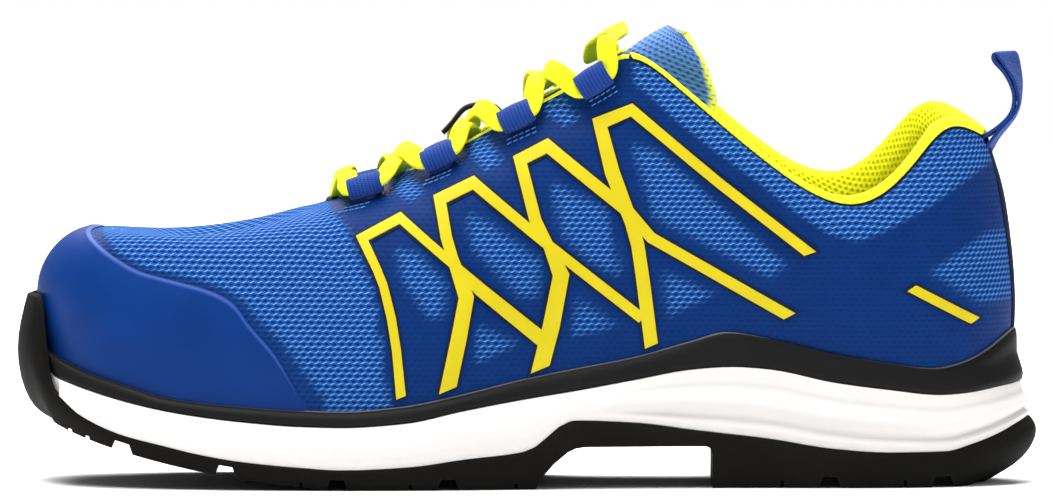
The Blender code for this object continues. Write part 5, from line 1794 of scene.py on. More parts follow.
@dataclass
class Strips(Piece):
    """Yellow strips of film welded to one side, with a narrow dark band below them, a painted shadow round
    their edges.
    """

    slot: ClassVar[str] = "strip_film"
    name: str
    strips: tuple[Strip, ...]
    side: Side
    cell: float = 2.6
    thickness: float = 0.75
    # Extra width of the dark sheet of painted shadow.
    shadow_extra: float = 1.05
    shadow_span: Floats = (-0.6, 0.42)
    trim: float = 0.3
    seat_gap: float = 0.1
    rounding: float = 0.25

    def outline(self, strip: Strip, extra: float) -> Array:
        """Outline of a strip in side view, mitred at its bends and cut at its ends.

        Args:
            strip: Strip to draw.
            extra: Extra width.

        Returns:
            Its corners in order.
        """
        stops = np.array(strip.stops)
        path = stops[:, :2].copy()
        run = unit(np.diff(path, axis=0))
        path[0] -= run[0] * 0.5 * extra
        path[-1] += run[-1] * 0.5 * extra
        side = np.column_stack([-run[:, 1], run[:, 0]])
        before = np.concatenate([side[:1], side])
        mitres = before + np.concatenate([side, side[-1:]])
        mitres /= (mitres * before).sum(axis=1, keepdims=True)
        for k, cut in ((0, strip.foot_cut), (-1, strip.end_cut)):
            if cut is not None:
                mitres[k] = np.array(cut) / np.dot(cut, side[k])
        reach = 0.5 * (stops[:, 2:] + extra) * mitres
        return np.concatenate([path + reach, (path - reach)[::-1]])

    def blank(self, name: str, extra: float, rounding: float = 0.0) -> bpy.types.Object:
        """The strips as one flat solid in side view, divided finely enough to bend.

        Args:
            name: Object name.
            extra: Extra width.
            rounding: Width over which its edges are rounded.

        Returns:
            The solid.
        """
        made = []
        for strip in self.strips:
            corners = self.outline(strip, extra)
            ends = [np.column_stack([corners[:, 0], np.full(len(corners), depth), corners[:, 1]])
                    for depth in (-1.0, 1.0)]
            made.append(Bench.loft(name, np.array(ends)))
        for other in made[1:]:
            Bench.boolean(made[0], other, "UNION")
        item = made[0]
        item.name = name
        if rounding > 0.0:
            Bench.bevel(item, rounding)
        edit = bmesh.new()
        edit.from_mesh(item.data)
        reach = np.array([vertex.co for vertex in edit.verts])
        for axis in (0, 2):
            normal = tuple(1.0 if k == axis else 0.0 for k in range(3))
            for cut in np.arange(reach[:, axis].min(), reach[:, axis].max(), self.cell * MM)[1:]:
                place = tuple(cut if k == axis else 0.0 for k in range(3))
                bmesh.ops.bisect_plane(edit, geom=edit.verts[:] + edit.edges[:] + edit.faces[:],
                                       dist=1e-7, plane_co=place, plane_no=normal)
        bmesh.ops.triangulate(edit, faces=edit.faces)
        bmesh.ops.dissolve_degenerate(edit, edges=edit.edges, dist=1e-6)
        edit.to_mesh(item.data)
        edit.free()
        return item

    def lay(self, item: bpy.types.Object, low: float, high: float) -> bpy.types.Object:
        """Bend a flat blank onto the upper.

        Args:
            item: Blank.
            low: Height of its back over the upper.
            high: Height of its face.

        Returns:
            The same object.
        """
        flat = np.empty(len(item.data.vertices) * 3)
        item.data.vertices.foreach_get("co", flat)
        flat = flat.reshape(-1, 3) / MM
        q, t = self.form.side_place(flat[:, 0], flat[:, 2], self.side)
        point, outward = self.form.frame(q, t)
        height = low + (high - low) * 0.5 * (flat[:, 1] + 1.0)
        item.data.vertices.foreach_set("co", ((point + outward * height[:, None]) * MM).ravel())
        item.data.update()
        Bench.weld(item)
        Bench.smooth(item, 40.0)
        return item

    def build(self) -> None:
        """Make the dark band of painted shadow and the strips over it."""
        node = f"{self.name}_{self.side.word}"
        # A dark sheet wider than the strips: painted shadow round their edges.
        edge = self.lay(self.blank(f"{node}_edge", self.shadow_extra), *self.shadow_span)
        self.dress(edge, self.wardrobe.outline)
        self.enter(edge)
        blank = self.blank(f"{node}_strips", -self.trim, self.rounding)
        strips = self.lay(blank, self.seat_gap, self.seat_gap + self.thickness)
        self.dress(strips, self.wardrobe.strip)
        self.enter(strips, (node,))


@dataclass
class HeelStrip(Piece):
    """Navy webbing down the back seam."""

    slot: ClassVar[str] = "heel_webbing"
    width: float = 9.0
    top: float = 0.985
    columns: int = 21
    rows: int = 60
    foot_drop: float = 0.3
    edge_lift: float = 0.2
    middle_lift: float = 0.5
    sunk: float = 0.3

    def build(self) -> None:
        """Lay the webbing on the back of the upper."""
        across = np.linspace(-1.0, 1.0, self.columns)
        q = self.form.half_way + 0.5 * across * self.width
        x = self.form.outline(q)[0][:, 0]
        foot = self.form.share_at_height(q, self.form.level("rand_top", x) - self.foot_drop)
        t_rows = foot[None, :] + (self.top - foot)[None, :] * np.linspace(0.0, 1.0, self.rows)[:, None]
        q_rows = np.broadcast_to(q, t_rows.shape)
        point, outward = self.form.frame(q_rows.ravel(), t_rows.ravel())
        lift = self.edge_lift + self.middle_lift * (1.0 - np.abs(across) ** 4)
        outer = (point + outward * np.tile(lift, self.rows)[:, None]).reshape(t_rows.shape + (3,))
        inner = (point - outward * self.sunk).reshape(t_rows.shape + (3,))
        item = Bench.loft("heel_webbing_band", np.concatenate([outer, inner[:, ::-1]], axis=1))
        self.complete(item, 50.0, self.wardrobe.navy, "heel_strip")


@dataclass
class Collar(Piece):
    """Padded lining from one eyestay round the heel to the other, rolled over at the edge."""

    slot: ClassVar[str] = "collar_lining"
    depth: float = 36.0
    rise: float = 2.4
    pad: float = 5.0
    start_station: int = 9
    count: int = 200
    round_count: int = 110
    soften: int = 6
    roll_half: float = 1.5
    roll_out: float = -0.15
    roll_thick: float = 0.95
    start_gap: float = 1.5
    lean_reach: float = 30.0
    near_share: float = 0.97
    back_shares: Floats = (1.0, 0.5, 0.14)
    bulges: Rows = ((0.10, 1.0), (0.26, 1.06), (0.45, 0.92), (0.7, 0.6), (1.0, 0.16))

    def rounded(self, section: Array) -> Array:
        """Soften the corners of a closed section, never wider than its straight runs.

        Args:
            section: Points of the section, in order, for each place.

        Returns:
            The softened section.
        """
        closed = np.concatenate([section, section[:1]])
        knots = travel(closed).mean(axis=1)
        places = np.linspace(0.0, knots[-1], self.round_count, endpoint=False)
        k = np.clip(np.searchsorted(knots, places, side="right") - 1, 0, len(knots) - 2)
        share = ((places - knots[k]) / (knots[k + 1] - knots[k]))[:, None, None]
        ring = closed[k] * (1.0 - share) + closed[k + 1] * share
        for _ in range(self.soften):
            ring = 0.5 * ring + 0.25 * (np.roll(ring, 1, axis=0) + np.roll(ring, -1, axis=0))
        return ring

    def build(self) -> None:
        """Loft the pad round its closed section."""
        form = self.form
        start = form.knots[self.start_station] + self.start_gap
        q = np.linspace(start, 2.0 * form.half_way - start, self.count)
        lean = 0.5 + 0.5 * smoothstep(0.0, self.lean_reach, np.minimum(q - q[0], q[-1] - q))
        top, outward = form.frame(q, np.ones_like(q))
        rise = unit(top - form.point(q, np.full_like(q, self.near_share)))
        wall = Upper.wall
        rings = []
        for share in self.back_shares:
            point, out = form.frame(q, form.share_below(q, share * self.depth))
            rings.append(point - out * (wall + 0.2))
        rings.append(top - outward * (wall - 0.2) + rise * 0.1)
        rings.append(top - outward * 0.1 + rise * 0.35)
        rings.append(top - outward * 0.05 + rise * (0.62 * self.rise * lean)[:, None])
        rings.append(top - outward * (0.45 * wall) + rise * (self.rise * lean)[:, None])
        rings.append(top - outward * (wall + 0.5 * self.pad * lean)[:, None]
                     + rise * (0.95 * self.rise * lean)[:, None])
        for share, bulge in self.bulges:
            point, out = form.frame(q, form.share_below(q, share * self.depth))
            depth = wall + 1.2 + (self.pad - 0.8) * bulge * lean
            rings.append(point - out * depth[:, None])
        item = Bench.loft("collar_pad", np.swapaxes(self.rounded(np.stack(rings)), 0, 1))
        Bench.smooth(item, 60.0)
        self.dress(item, self.wardrobe.lining)
        self.enter(item, ("collar",))
        angle = np.linspace(0.0, 2.0 * math.pi, 18, endpoint=False)
        high = self.roll_half * (0.5 + 0.5 * lean)
        centre = top + outward * self.roll_out + rise * (0.35 * high)[:, None]
        roll = (centre[:, None] + outward[:, None] * (self.roll_thick * np.cos(angle))[None, :, None]
                + rise[:, None] * (high[:, None] * np.sin(angle))[:, :, None])
        piping = Bench.loft("collar_piping", roll)
        self.complete(piping, 70.0, self.wardrobe.piping)


class TongueRow(NamedTuple):
    """A row of the tongue: its centre, its wings and its thickness."""

    along: float
    up: float
    wing_along: float
    wing_half: float
    wing_up: float
    thick: float


@dataclass
class Tongue(Piece):
    """Padded tongue, curved across, with a bound edge."""

    slot: ClassVar[str] = "tongue_mesh"
    rows: tuple[TongueRow, ...] = (
        TongueRow(80.0, 73.6, 84.0, 11.0, 71.6, 2.2),
        TongueRow(93.0, 79.0, 97.0, 14.0, 74.6, 2.6),
        TongueRow(113.0, 90.0, 122.0, 18.5, 80.0, 3.2),
        TongueRow(136.0, 102.2, 150.0, 20.5, 89.0, 3.6),
        TongueRow(157.0, 112.6, 178.0, 21.5, 97.0, 4.0),
        TongueRow(170.0, 119.4, 203.0, 22.0, 108.0, 4.6),
        TongueRow(181.0, 127.4, 203.4, 21.5, 119.2, 5.0),
        TongueRow(187.6, 131.8, 200.4, 19.5, 126.4, 4.4),
        TongueRow(191.6, 133.8, 196.4, 15.0, 131.4, 3.2),
    )
    count: int = 90
    columns: int = 49
    crown: float = 0.4
    crown_from: Floats = (0.35, 0.8)
    edge_share: float = 0.25
    binding_from: Floats = (0.985, 0.998)

    def build(self) -> None:
        """Loft the pad over its rows and bind its edge."""
        rows = np.array(self.rows)
        knots = travel(rows[:, :2])
        rows = spline(knots / knots[-1], rows, np.linspace(0.0, 1.0, self.count))
        across = np.linspace(-1.0, 1.0, self.columns)
        bow = across * across
        outer = np.zeros((self.count, self.columns, 3))
        for r, row in enumerate([TongueRow(*row) for row in rows]):
            x = row.along + (row.wing_along - row.along) * bow - 0.5 * self.form.length
            outer[r, :, 0] = x
            outer[r, :, 1] = across * row.wing_half + self.form.instep_line(x)
            outer[r, :, 2] = row.up + (row.wing_up - row.up) * bow
        outward = unit(np.cross(np.gradient(outer, axis=0), np.gradient(outer, axis=1)))
        if outward[:, :, 2].mean() < 0.0:
            outward = -outward
        swell = np.clip(1.0 - across ** 6, 0.0, 1.0) ** 0.5
        rising = smoothstep(*self.crown_from, np.linspace(0.0, 1.0, self.count))
        crown = self.crown * rising[:, None] * swell[None, :]
        depth = rows[:, -1:] * (self.edge_share + (1.0 - self.edge_share) * swell)[None, :]
        face = outer + outward * crown[:, :, None]
        back = outer - outward * depth[:, :, None]
        rings = np.concatenate([face, back[:, ::-1]], axis=1)
        edge = np.concatenate([smoothstep(*self.binding_from, np.abs(across)), np.ones(self.columns)])
        lining = np.repeat(edge[None, :], self.count, axis=0)
        item = Bench.loft("tongue_pad", rings, traits={"lining": lining})
        Bench.smooth(item, 60.0)
        self.dress(item, self.material())
        self.enter(item, ("tongue",))

    def material(self) -> bpy.types.Material:
        """Mix the mesh and its lining.

        Returns:
            Blue mesh on the face, with yellow lining on the back and round the edge.
        """
        recipe = Recipe("tongue_mesh")
        u, v = recipe.weave()
        reach, strand, _ = KnitPattern().draw(u, v)
        solid = reach.ramp(0.72, 1.12)
        # Holes darker: partly the layer behind, partly painted shade in the openings.
        blue = recipe.mix(solid, (0.005, 0.028, 0.12), (0.032, 0.125, 0.39))
        # Strands lighter: lighter thread partly, painted highlight partly.
        blue = recipe.mix(strand * 0.8, blue, (0.090, 0.26, 0.60))
        # Yellow lining darker in its holes: painted shade.
        yellow = recipe.mix(solid, (0.5, 0.46, 0.004), (0.80, 0.90, 0.016))
        recipe.bump(solid, 0.0003)
        return recipe.finish(Base_Color=recipe.mix(recipe.trait("lining"), blue, yellow), Roughness=0.8,
                             Sheen_Weight=0.15, Specular_IOR_Level=0.3)


@dataclass
class Trim(Piece):
    """Lace keeper on the tongue, dark binding of the throat and yellow piping of the eyestays."""

    slot: ClassVar[str] = "heel_webbing"
    keeper: Rows = (
        (-24.6, 102.4), (-21.2, 106.2), (-18.1, 109.6), (-14.9, 110.6), (-9.3, 110.0), (-7.6, 108.4),
        (-5.6, 104.5),
    )
    keeper_across: float = 3.0
    keeper_width: float = 7.0
    keeper_thickness: float = 1.5
    binding_station: int = 2
    binding_radius: float = 1.5
    piping_along: Floats = (116.0, 182.0)
    piping_radius: float = 0.7

    def rim(self, name: str, q: Array, radius: float, material: bpy.types.Material) -> bpy.types.Object:
        """A thin tube along the edge of the opening.

        Args:
            name: Object name.
            q: Places that it runs through.
            radius: Its radius.
            material: Its material.

        Returns:
            The tube.
        """
        point, outward = self.form.frame(np.mod(q, 2.0 * self.form.half_way), np.ones_like(q))
        item = ribbon(name, point - outward * 0.5 * radius, outward, np.full(len(q), 2.0 * radius),
                      2.0 * radius, 3 * len(q), 2.0)
        Bench.smooth(item, 70.0)
        return self.dress(item, material)

    def build(self) -> None:
        """Make the keeper, the binding and the piping."""
        path = np.array([(x, self.keeper_across, up) for x, up in self.keeper])
        keeper = ribbon("lace_keeper", path, np.tile((0.0, 1.0, 0.0), (len(path), 1)),
                        np.full(len(path), self.keeper_width), self.keeper_thickness, 40, 5.0)
        Bench.smooth(keeper, 60.0)
        self.enter(self.dress(keeper, self.wardrobe.keeper))
        reach = self.form.knots[self.binding_station]
        self.enter(self.rim("throat_binding", np.linspace(-reach, reach, 31), self.binding_radius,
                            self.wardrobe.keeper))
        for side in Side:
            ends = [self.form.eyestay_place(along, 1.0, side)[0]
                    for along in self.piping_along]
            self.enter(self.rim(f"eyestay_piping_{side.word}", np.linspace(*ends, 40), self.piping_radius,
                                self.wardrobe.piping), slot="collar_lining")


@dataclass
class Insole(Piece):
    """Loose felt footbed, cupped towards its edge."""

    slot: ClassVar[str] = "footbed"
    thickness: float = 4.2
    half: int = 60
    wall_gap: float = 1.0
    wall_share: float = 0.75
    rounding: float = 0.9

    def build(self) -> None:
        """Loft the footbed."""
        q = self.form.places(self.half)
        x = self.form.outline(q)[0][:, 0]
        columns = self.form.ribs[:, :1]
        inset = self.form.around(columns, columns, q)[:, 0] + Upper.wall + self.wall_gap
        bed = self.form.level("bed", x) + 2.0 * Midsole.gap
        foot = self.form.ring(q, inset, bed)
        rings = Bench.to_middle(foot, (1.0, 0.5, 0.0))
        rings.append(self.form.ring(q, inset, bed + self.wall_share * self.thickness))
        rim = self.form.ring(q, inset + self.rounding, bed + self.thickness)
        rings += Bench.to_middle(rim, (0.0, 0.1, 0.25, 0.5, 0.75, 1.0))
        item = Bench.loft("footbed", np.stack(rings), fill=False)
        self.complete(item, 50.0, self.wardrobe.felt, "insole")


class LoopSeat(NamedTuple):
    """Where a lace loop sits: middle of its tube, axis, outward side and left side."""

    middle: Array
    axis: Array
    outward: Array
    left: Array


@dataclass
class LaceLoops(Piece):
    """Webbing loops of the eyestay, sewn down by two rows of stitches."""

    slot: ClassVar[str] = "loop_webbing"
    length: float = 10.0
    half_height: float = 4.1
    half_depth: float = 3.1
    wall: float = 1.1
    seat_gap: float = 0.5
    inner_drop: float = 0.045
    stitch_count: int = 5
    stitch_length: float = 2.0
    stitch_radius: float = 0.26
    stitch_slant: float = 0.004
    stitch_span: float = 1.25
    rows_below: Floats = (0.078, 0.112)
    stitch_lift: float = 0.15
    flare: float = 0.035
    rounding: float = 0.25
    round_count: int = 40
    cells: int = 9
    tail_cells: int = 17
    tail_long: float = 1.02
    tail_span: Floats = (-0.045, 0.02)
    tail_lift: float = 0.85
    tail_sunk: float = 0.2
    spindle: Rows = ((0.0, 0.35), (0.2, 0.9), (0.8, 0.9), (1.0, 0.35))
    spindle_sides: int = 6

    def share(self, loop: Loop, side: Side) -> float:
        """Share of the rib at a loop, which sits lower on the inner side."""
        return loop.share - (self.inner_drop if side is Side.INNER else 0.0)

    def seat(self, loop: Loop, side: Side) -> LoopSeat:
        """Frame of one loop on the eyestay.

        Args:
            loop: Loop to seat.
            side: Side of the foot.

        Returns:
            Its seat.
        """
        form = self.form
        share = np.array([self.share(loop, side)])
        q = form.eyestay_place(loop.along, self.share(loop, side), side)
        point, outward = form.frame(q, share)
        step = (form.point(q + 2.0, share) - form.point(q - 2.0, share))[0]
        axis = unit(step) * (1.0 if step[0] > 0.0 else -1.0)
        left = unit(np.cross(outward[0], axis))
        return LoopSeat(point[0] + outward[0] * (self.half_depth + self.seat_gap), axis, outward[0], left)

    def tube(self, name: str, seat: LoopSeat) -> bpy.types.Object:
        """The loop itself: a band bent round to an oval.

        Args:
            name: Object name.
            seat: Where it sits.

        Returns:
            The loop.
        """
        ends = np.linspace(-0.5, 0.5, self.cells)
        ends = np.concatenate([ends, ends[::-1]])
        inset = np.repeat((0.0, self.wall), self.cells)
        flare = 1.0 + self.flare * np.cos(2.0 * math.pi * ends)
        rings = []
        for a in np.linspace(0.0, 2.0 * math.pi, self.round_count, endpoint=False):
            deep = (self.half_depth * flare - inset) * math.cos(a)
            high = (self.half_height * flare - inset) * math.sin(a)
            rings.append(seat.middle + np.outer(ends * self.length, seat.axis)
                         + np.outer(deep, seat.outward) + np.outer(high, seat.left))
        item = Bench.loft(name, np.stack(rings), round_again=True)
        Bench.bevel(item, self.rounding)
        Bench.smooth(item, 50.0)
        return self.dress(item, self.wardrobe.webbing)

    def tail(self, name: str, loop: Loop, side: Side) -> bpy.types.Object:
        """The sewn end of the band, flat on the upper under its loop.

        Args:
            name: Object name.
            loop: Loop that it belongs to.
            side: Side of the foot.

        Returns:
            The sewn end.
        """
        form = self.form
        middle = form.eyestay_place(loop.along, self.share(loop, side), side)[0]
        q = middle + np.linspace(-0.5, 0.5, self.tail_cells) * self.length * self.tail_long
        t = self.share(loop, side) + np.linspace(*self.tail_span, self.tail_cells)
        q_rows, t_rows = np.meshgrid(q, t)
        point, outward = form.frame(q_rows.ravel(), t_rows.ravel())
        outer = (point + outward * self.tail_lift).reshape(q_rows.shape + (3,))
        inner = (point - outward * self.tail_sunk).reshape(q_rows.shape + (3,))
        item = Bench.loft(name, np.concatenate([outer, inner[:, ::-1]], axis=1))
        Bench.bevel(item, self.rounding)
        Bench.smooth(item, 50.0)
        return self.dress(item, self.wardrobe.webbing)

    def stitch_rows(self, side: Side) -> list[Array]:
        """Places of the stitches of one side.

        Args:
            side: Side of the foot.

        Returns:
            The two ends of each stitch.
        """
        form = self.form
        pairs = []
        for loop in LOOPS:
            middle = form.eyestay_place(loop.along, self.share(loop, side), side)[0]
            pitch = self.length * self.stitch_span / self.stitch_count
            for below in self.rows_below:
                for k in range(self.stitch_count):
                    place = middle + (k - 0.5 * (self.stitch_count - 1)) * pitch
                    q = place + np.array((-0.5, 0.5)) * self.stitch_length
                    slant = np.array((-0.5, 0.5)) * self.stitch_slant
                    point, outward = form.frame(q, self.share(loop, side) - below + slant)
                    pairs.append(point + outward * self.stitch_lift)
        return pairs

    def stitches(self, name: str, pairs: Sequence[Array]) -> bpy.types.Object:
        """All stitches of one side as one mesh of small spindles.

        Args:
            name: Object name.
            pairs: The two ends of each stitch.

        Returns:
            The stitches.
        """
        count = self.spindle_sides
        angle = np.linspace(0.0, 2.0 * math.pi, count, endpoint=False)
        points = []
        faces = []
        for start, end in pairs:
            run = unit(end - start)
            side = unit(np.cross(run, (0.0, 0.0, 1.0)))
            up = np.cross(side, run)
            first = len(points)
            for share, swell in self.spindle:
                for a in angle:
                    reach = side * math.cos(a) + up * math.sin(a)
                    points.append((start + (end - start) * share + reach * swell * self.stitch_radius) * MM)
            last = len(points) - count
            for ring in range(first, last, count):
                for k in range(count):
                    a = ring + k
                    b = ring + (k + 1) % count
                    faces.append((a, b, b + count, a + count))
            faces.append(tuple(range(first + count - 1, first - 1, -1)))
            faces.append(tuple(range(last, last + count)))
        mesh = bpy.data.meshes.new(name)
        mesh.from_pydata([tuple(point) for point in points], [], faces)
        item = bpy.data.objects.new(name, mesh)
        bpy.context.scene.collection.objects.link(item)
        Bench.weld(item)
        Bench.smooth(item, 70.0)
        return self.dress(item, self.wardrobe.thread)

    def build(self) -> None:
        """Make the loops, tails and stitches of both sides."""
        for side in Side:
            for k, loop in enumerate(LOOPS, start=1):
                node = f"lace_loop_{side.word}_{k}"
                tube = self.tube(f"{node}_tube", self.seat(loop, side))
                tail = self.tail(f"{node}_tail", loop, side)
                self.enter(Bench.join(f"{node}_webbing", [tube, tail]), (node,))
            self.enter(self.stitches(f"loop_stitches_{side.word}", self.stitch_rows(side)))


class Lead(Enum):
    """How a lace leaves a loop: its share along the loop and its share up to the instep."""

    OVER = (0.34, 0.94)
    UNDER = (0.44, 0.90)
    BAR = (-0.05, 1.0)


class LaceEnd(NamedTuple):
    """An end of a lace run: its points from inside a loop outwards and its flat side at each."""

    points: Array
    wide: Array


@dataclass
class Laces(Piece):
    """Flat lace run through the loops: a front bar, three crossings and a top bar."""

    slot: ClassVar[str] = "lace_cord"
    width: float = 6.1
    thickness: float = 2.0
    power: float = 2.8
    bar_up: float = 83.4
    cross_up: Floats = (93.6, 103.6, 118.6)
    top_path: Rows = (
        (27.0, -10.5, 131.4), (26.4, -4.0, 133.2), (23.0, 3.0, 131.4), (20.0, 8.0, 128.0),
        (19.6, 12.5, 124.4),
    )
    under_drop: float = 2.2
    mouth_gap: float = 0.3
    lead_runs: Floats = (3.6, 7.2)
    lead_lifts: Floats = (0.7, 1.4)
    end_widths: Floats = (0.8, 0.86, 1.0, 1.0)
    bar_forward: float = 2.6
    flat_way: Colour = (-0.85, 0.0, -0.5)
    sections: int = 130

    def lead(self, seat: LoopSeat, end: float, lead: Lead) -> LaceEnd:
        """The lace from the middle of a loop out of its mouth, turned up to the instep.

        Args:
            seat: Where the loop sits.
            end: 1 for the loop's rear mouth, -1 for its front one.
            lead: How the lace leaves the loop.

        Returns:
            The end of a lace run.
        """
        up = seat.left * (1.0 if seat.middle[1] < 0.0 else -1.0)
        along = seat.axis * end
        mouth = seat.middle + along * (0.5 * LaceLoops.length + self.mouth_gap)
        way = unit(along * lead.value[0] + up * lead.value[1])
        out = mouth + np.outer(self.lead_runs, way) + np.outer(self.lead_lifts, seat.outward)
        inside = np.cross(seat.outward, along)
        outside = np.cross(seat.outward, way)
        points = np.concatenate([[seat.middle, mouth], out])
        return LaceEnd(points, np.array([inside, inside, outside, outside]))

    def run(self, name: str, start: LaceEnd, stop: LaceEnd, over: Rows) -> bpy.types.Object:
        """A band from one loop to another.

        Args:
            name: Object name.
            start: End that the band leaves from.
            stop: End that it arrives at.
            over: Points that it passes over the tongue.

        Returns:
            The band.
        """
        path = np.concatenate([start.points, np.array(over), stop.points[::-1]])
        flat = np.array(self.flat_way) * (1.0 if stop.points[0, 1] > start.points[0, 1] else -1.0)
        wide = np.concatenate([start.wide, np.tile(flat, (len(over), 1)), -stop.wide[::-1]])
        widths = np.concatenate([self.end_widths, np.ones(len(over)), self.end_widths[::-1]]) * self.width
        return ribbon(name, path, wide, widths, self.thickness, self.sections, self.power)

    def build(self) -> None:
        """Make the bars and crossings."""
        loops = LaceLoops(self.form, self.wardrobe)
        near = [loops.seat(loop, Side.OUTER) for loop in LOOPS]
        far = [loops.seat(loop, Side.INNER) for loop in LOOPS]
        first = self.lead(near[0], -1.0, Lead.BAR)
        last = self.lead(far[0], -1.0, Lead.BAR)
        middle = 0.5 * (first.points[-1] + last.points[-1])
        over = ((middle[0] - self.bar_forward, middle[1], self.bar_up),)
        made = {"lace_bar": [self.run("bar", first, last, over)]}
        for k, height in enumerate(self.cross_up):
            bands = []
            for a, b, lead, drop in ((far[k], near[k + 1], Lead.OVER, 0.0),
                                     (near[k], far[k + 1], Lead.UNDER, self.under_drop)):
                first = self.lead(a, 1.0, lead)
                last = self.lead(b, -1.0, lead)
                middle = 0.5 * (first.points[-1] + last.points[-1])
                bands.append(self.run(f"cross_{k}", first, last, ((middle[0], middle[1], height - drop),)))
            made[f"lace_cross_{k + 1}"] = bands
        first = self.lead(near[-1], 1.0, Lead.UNDER)
        last = self.lead(far[-1], 1.0, Lead.UNDER)
        made["lace_top"] = [self.run("top", first, last, self.top_path)]
        for node, bands in made.items():
            self.complete(Bench.join(f"{node}_band", bands), 60.0, self.wardrobe.lace, node)


def ribbon(name: str, path: Array, across: Array, widths: Array, thickness: float, count: int,
           power: float, slanted: bool = False) -> bpy.types.Object:
    """A flat band along a smooth path.

    Args:
        name: Object name.
        path: Points that the band follows.
        across: Direction of its width at each point.
        widths: Width at each point.
        thickness: Thickness in its middle.
        count: Number of sections.
        power: How square its section is: 2 is an ellipse.
        slanted: Whether the width keeps its direction where it leans along the path.

    Returns:
        The band, closed at both ends.
    """
    knots = travel(path)
    places = np.linspace(0.0, knots[-1], count)
    points = spline(knots, path, places)
    run = unit(np.gradient(points, axis=0))
    wide = spline(knots, across, places)
    if not slanted:
        wide = wide - run * (wide * run).sum(axis=1, keepdims=True)
    wide = unit(wide)
    thin = unit(np.cross(run, wide))
    width = monotone(knots, widths, places)
    angle = np.linspace(0.0, 2.0 * math.pi, 24, endpoint=False)
    a = np.sign(np.cos(angle)) * np.abs(np.cos(angle)) ** (2.0 / power)
    b = np.sign(np.sin(angle)) * np.abs(np.sin(angle)) ** (2.0 / power)
    rings = (points[:, None] + wide[:, None] * (0.5 * width[:, None] * a)[:, :, None]
             + thin[:, None] * (0.5 * thickness * b)[None, :, None])
    return Bench.loft(name, rings)


@dataclass
class PullLoop(Piece):
    """Folded webbing loop behind the heel, lightly twisted towards its top."""

    slot: ClassVar[str] = "loop_webbing"
    width: float = 12.5
    thickness: float = 1.2
    twist_up: Floats = (96.0, 104.0, 111.0, 118.0, 126.0)
    twist: Floats = (12.0, 10.0, 2.0, 12.0, 32.0)
    seat_up: float = 97.0
    seat_lift: float = -0.8
    path: Rows = (
        (287.6, 100.6), (290.9, 104.6), (293.9, 108.6), (294.9, 112.0), (294.8, 115.0), (294.4, 118.0),
        (292.8, 122.2), (291.4, 125.2), (290.6, 126.0), (289.8, 125.1), (291.2, 121.6), (293.0, 117.4),
        (293.6, 114.6), (293.5, 112.2), (292.8, 108.8), (290.1, 105.1), (285.2, 101.6),
    )
    sections: int = 110
    power: float = 5.0

    def build(self) -> None:
        """Run the webbing up, over its fold and down inside."""
        back = np.array([self.form.half_way])
        shares = np.linspace(0.6, 1.0, 81)
        heights = self.form.point(np.full_like(shares, self.form.half_way), shares)[:, 2]
        seat, outward = self.form.frame(back, np.array([np.interp(self.seat_up, heights, shares)]))
        path = [tuple(seat[0] + outward[0] * self.seat_lift)]
        path += [(along - 0.5 * self.form.length, 0.0, up) for along, up in self.path]
        wide = []
        for _, _, up in path:
            turn = math.radians(float(np.interp(up, self.twist_up, self.twist)))
            wide.append((math.sin(turn), math.cos(turn), 0.0))
        item = ribbon("pull_loop_webbing", np.array(path), np.array(wide), np.full(len(path), self.width),
                      self.thickness, self.sections, self.power, slanted=True)
        self.complete(item, 60.0, self.wardrobe.webbing, "pull_loop")


class Lamp(NamedTuple):
    """A square soft light: its place, what it is aimed at, its size and its power in watts."""

    name: str
    place: Colour
    aim: Colour
    size: float
    power: float


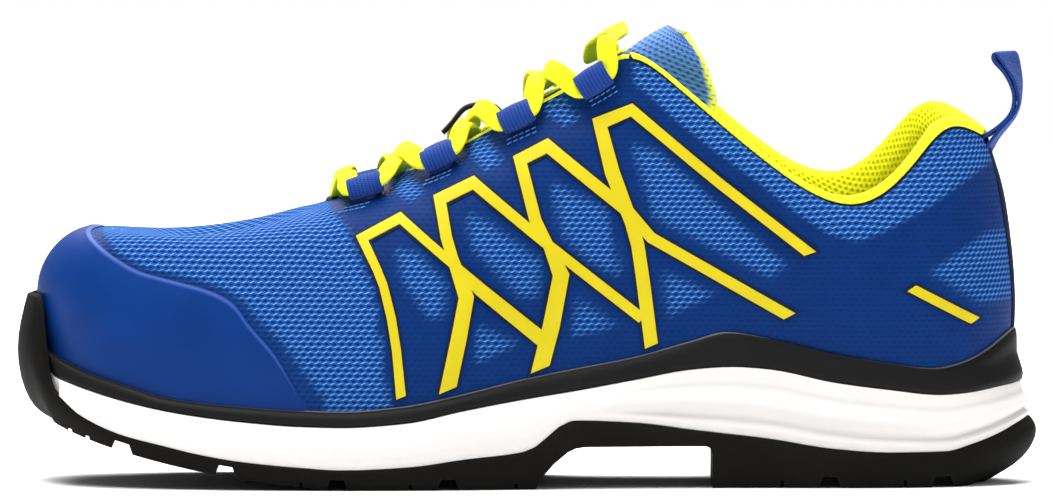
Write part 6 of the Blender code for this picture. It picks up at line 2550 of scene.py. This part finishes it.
@dataclass(frozen=True)
class Studio:
    """Pale floor, soft lights and the camera of the picture."""

    lamps: tuple[Lamp, ...] = (
        Lamp("key_light", (-0.25, -0.72, 1.45), (0.0, 0.0, 0.05), 0.9, 14.5),
        Lamp("side_light", (1.15, -0.85, 0.9), (0.0, 0.0, 0.05), 0.7, 3.0),
        Lamp("low_light", (0.1, -1.5, 0.28), (0.0, 0.0, 0.04), 0.7, 0.9),
        Lamp("top_light", (-0.15, -0.05, 1.35), (0.0, 0.0, 0.05), 0.8, 20.0),
        Lamp("floor_light", (0.0, 1.5, 1.6), (0.0, 1.2, 0.0), 2.0, 100.0),
    )
    sky: float = 0.20
    elevation: float = 2.5
    distance: float = 5.0
    frame_width: float = 0.3097
    target: Colour = (0.0, 0.0, 0.0680)
    sensor: float = 36.0

    def floor(self) -> None:
        """A plain pale floor and a low white card far behind it, which don't belong to the shoe."""
        bpy.ops.object.select_all(action="DESELECT")
        bpy.ops.mesh.primitive_plane_add(size=8.0)
        ground = bpy.context.object
        ground.name = "studio_floor"
        paper = Recipe("floor_paper")
        ground.data.materials.append(paper.finish(Base_Color=(0.95, 0.95, 0.95), Roughness=0.7))
        bpy.ops.mesh.primitive_plane_add(size=1.0, location=(0.0, 2.6, -0.35),
                                         rotation=(0.5 * math.pi, 0.0, 0.0))
        sheet = bpy.context.object
        sheet.name = "studio_backdrop"
        glow = Recipe("backdrop_glow")
        white = (1.0, 1.0, 1.0)
        sheet.data.materials.append(glow.finish(Base_Color=(0.0, 0.0, 0.0), Emission_Color=white,
                                                Emission_Strength=1.0, Specular_IOR_Level=0.0))

    def light(self, lamp: Lamp) -> None:
        """Hang a light.

        Args:
            lamp: The light's sizes.
        """
        bpy.ops.object.select_all(action="DESELECT")
        bpy.ops.object.light_add(type="AREA", location=lamp.place)
        item = bpy.context.object
        item.name = lamp.name
        item.data.size = lamp.size
        item.data.energy = lamp.power
        item.rotation_euler = (Vector(lamp.aim) - Vector(lamp.place)).to_track_quat("-Z", "Y").to_euler()

    def build(self) -> None:
        """Set the floor, lights, sky and camera."""
        self.floor()
        for lamp in self.lamps:
            self.light(lamp)
        world = bpy.data.worlds.new("studio_sky")
        world.use_nodes = True
        world.node_tree.nodes["Background"].inputs["Color"].default_value = (1.0, 1.0, 1.0, 1.0)
        world.node_tree.nodes["Background"].inputs["Strength"].default_value = self.sky
        bpy.context.scene.world = world
        tilt = math.radians(self.elevation)
        aim = Vector(self.target)
        place = aim + Vector((0.0, -math.cos(tilt), math.sin(tilt))) * self.distance
        bpy.ops.object.camera_add(location=place)
        camera = bpy.context.object
        camera.name = "picture_camera"
        camera.rotation_euler = (aim - place).to_track_quat("-Z", "Y").to_euler()
        camera.data.sensor_width = self.sensor
        camera.data.lens = self.sensor * self.distance / self.frame_width
        bpy.context.scene.camera = camera
        bpy.context.scene.view_settings.view_transform = "Standard"


def main() -> None:
    """Build the studio and every piece of the shoe in order, and note the sizes."""
    logging.basicConfig(level=logging.INFO, format="%(name)s: %(message)s")
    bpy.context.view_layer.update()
    Studio().build()
    form = LastForm()
    wardrobe = Wardrobe()
    pieces: list[Piece] = [
        Outsole(form, wardrobe), Midsole(form, wardrobe), Rand(form, wardrobe), Upper(form, wardrobe),
        ToeCap(form, wardrobe), Insole(form, wardrobe), Tongue(form, wardrobe), Collar(form, wardrobe),
        HeelStrip(form, wardrobe), PullLoop(form, wardrobe), LaceLoops(form, wardrobe),
        Laces(form, wardrobe), Trim(form, wardrobe),
    ]
    for side in Side:
        pieces.append(Strips(form, wardrobe, "lattice", LATTICE, side))
        pieces.append(Strips(form, wardrobe, "heel_dash", HEEL_DASH, side))
    for piece in pieces:
        piece.build()


if __name__ == "__main__":
    main()
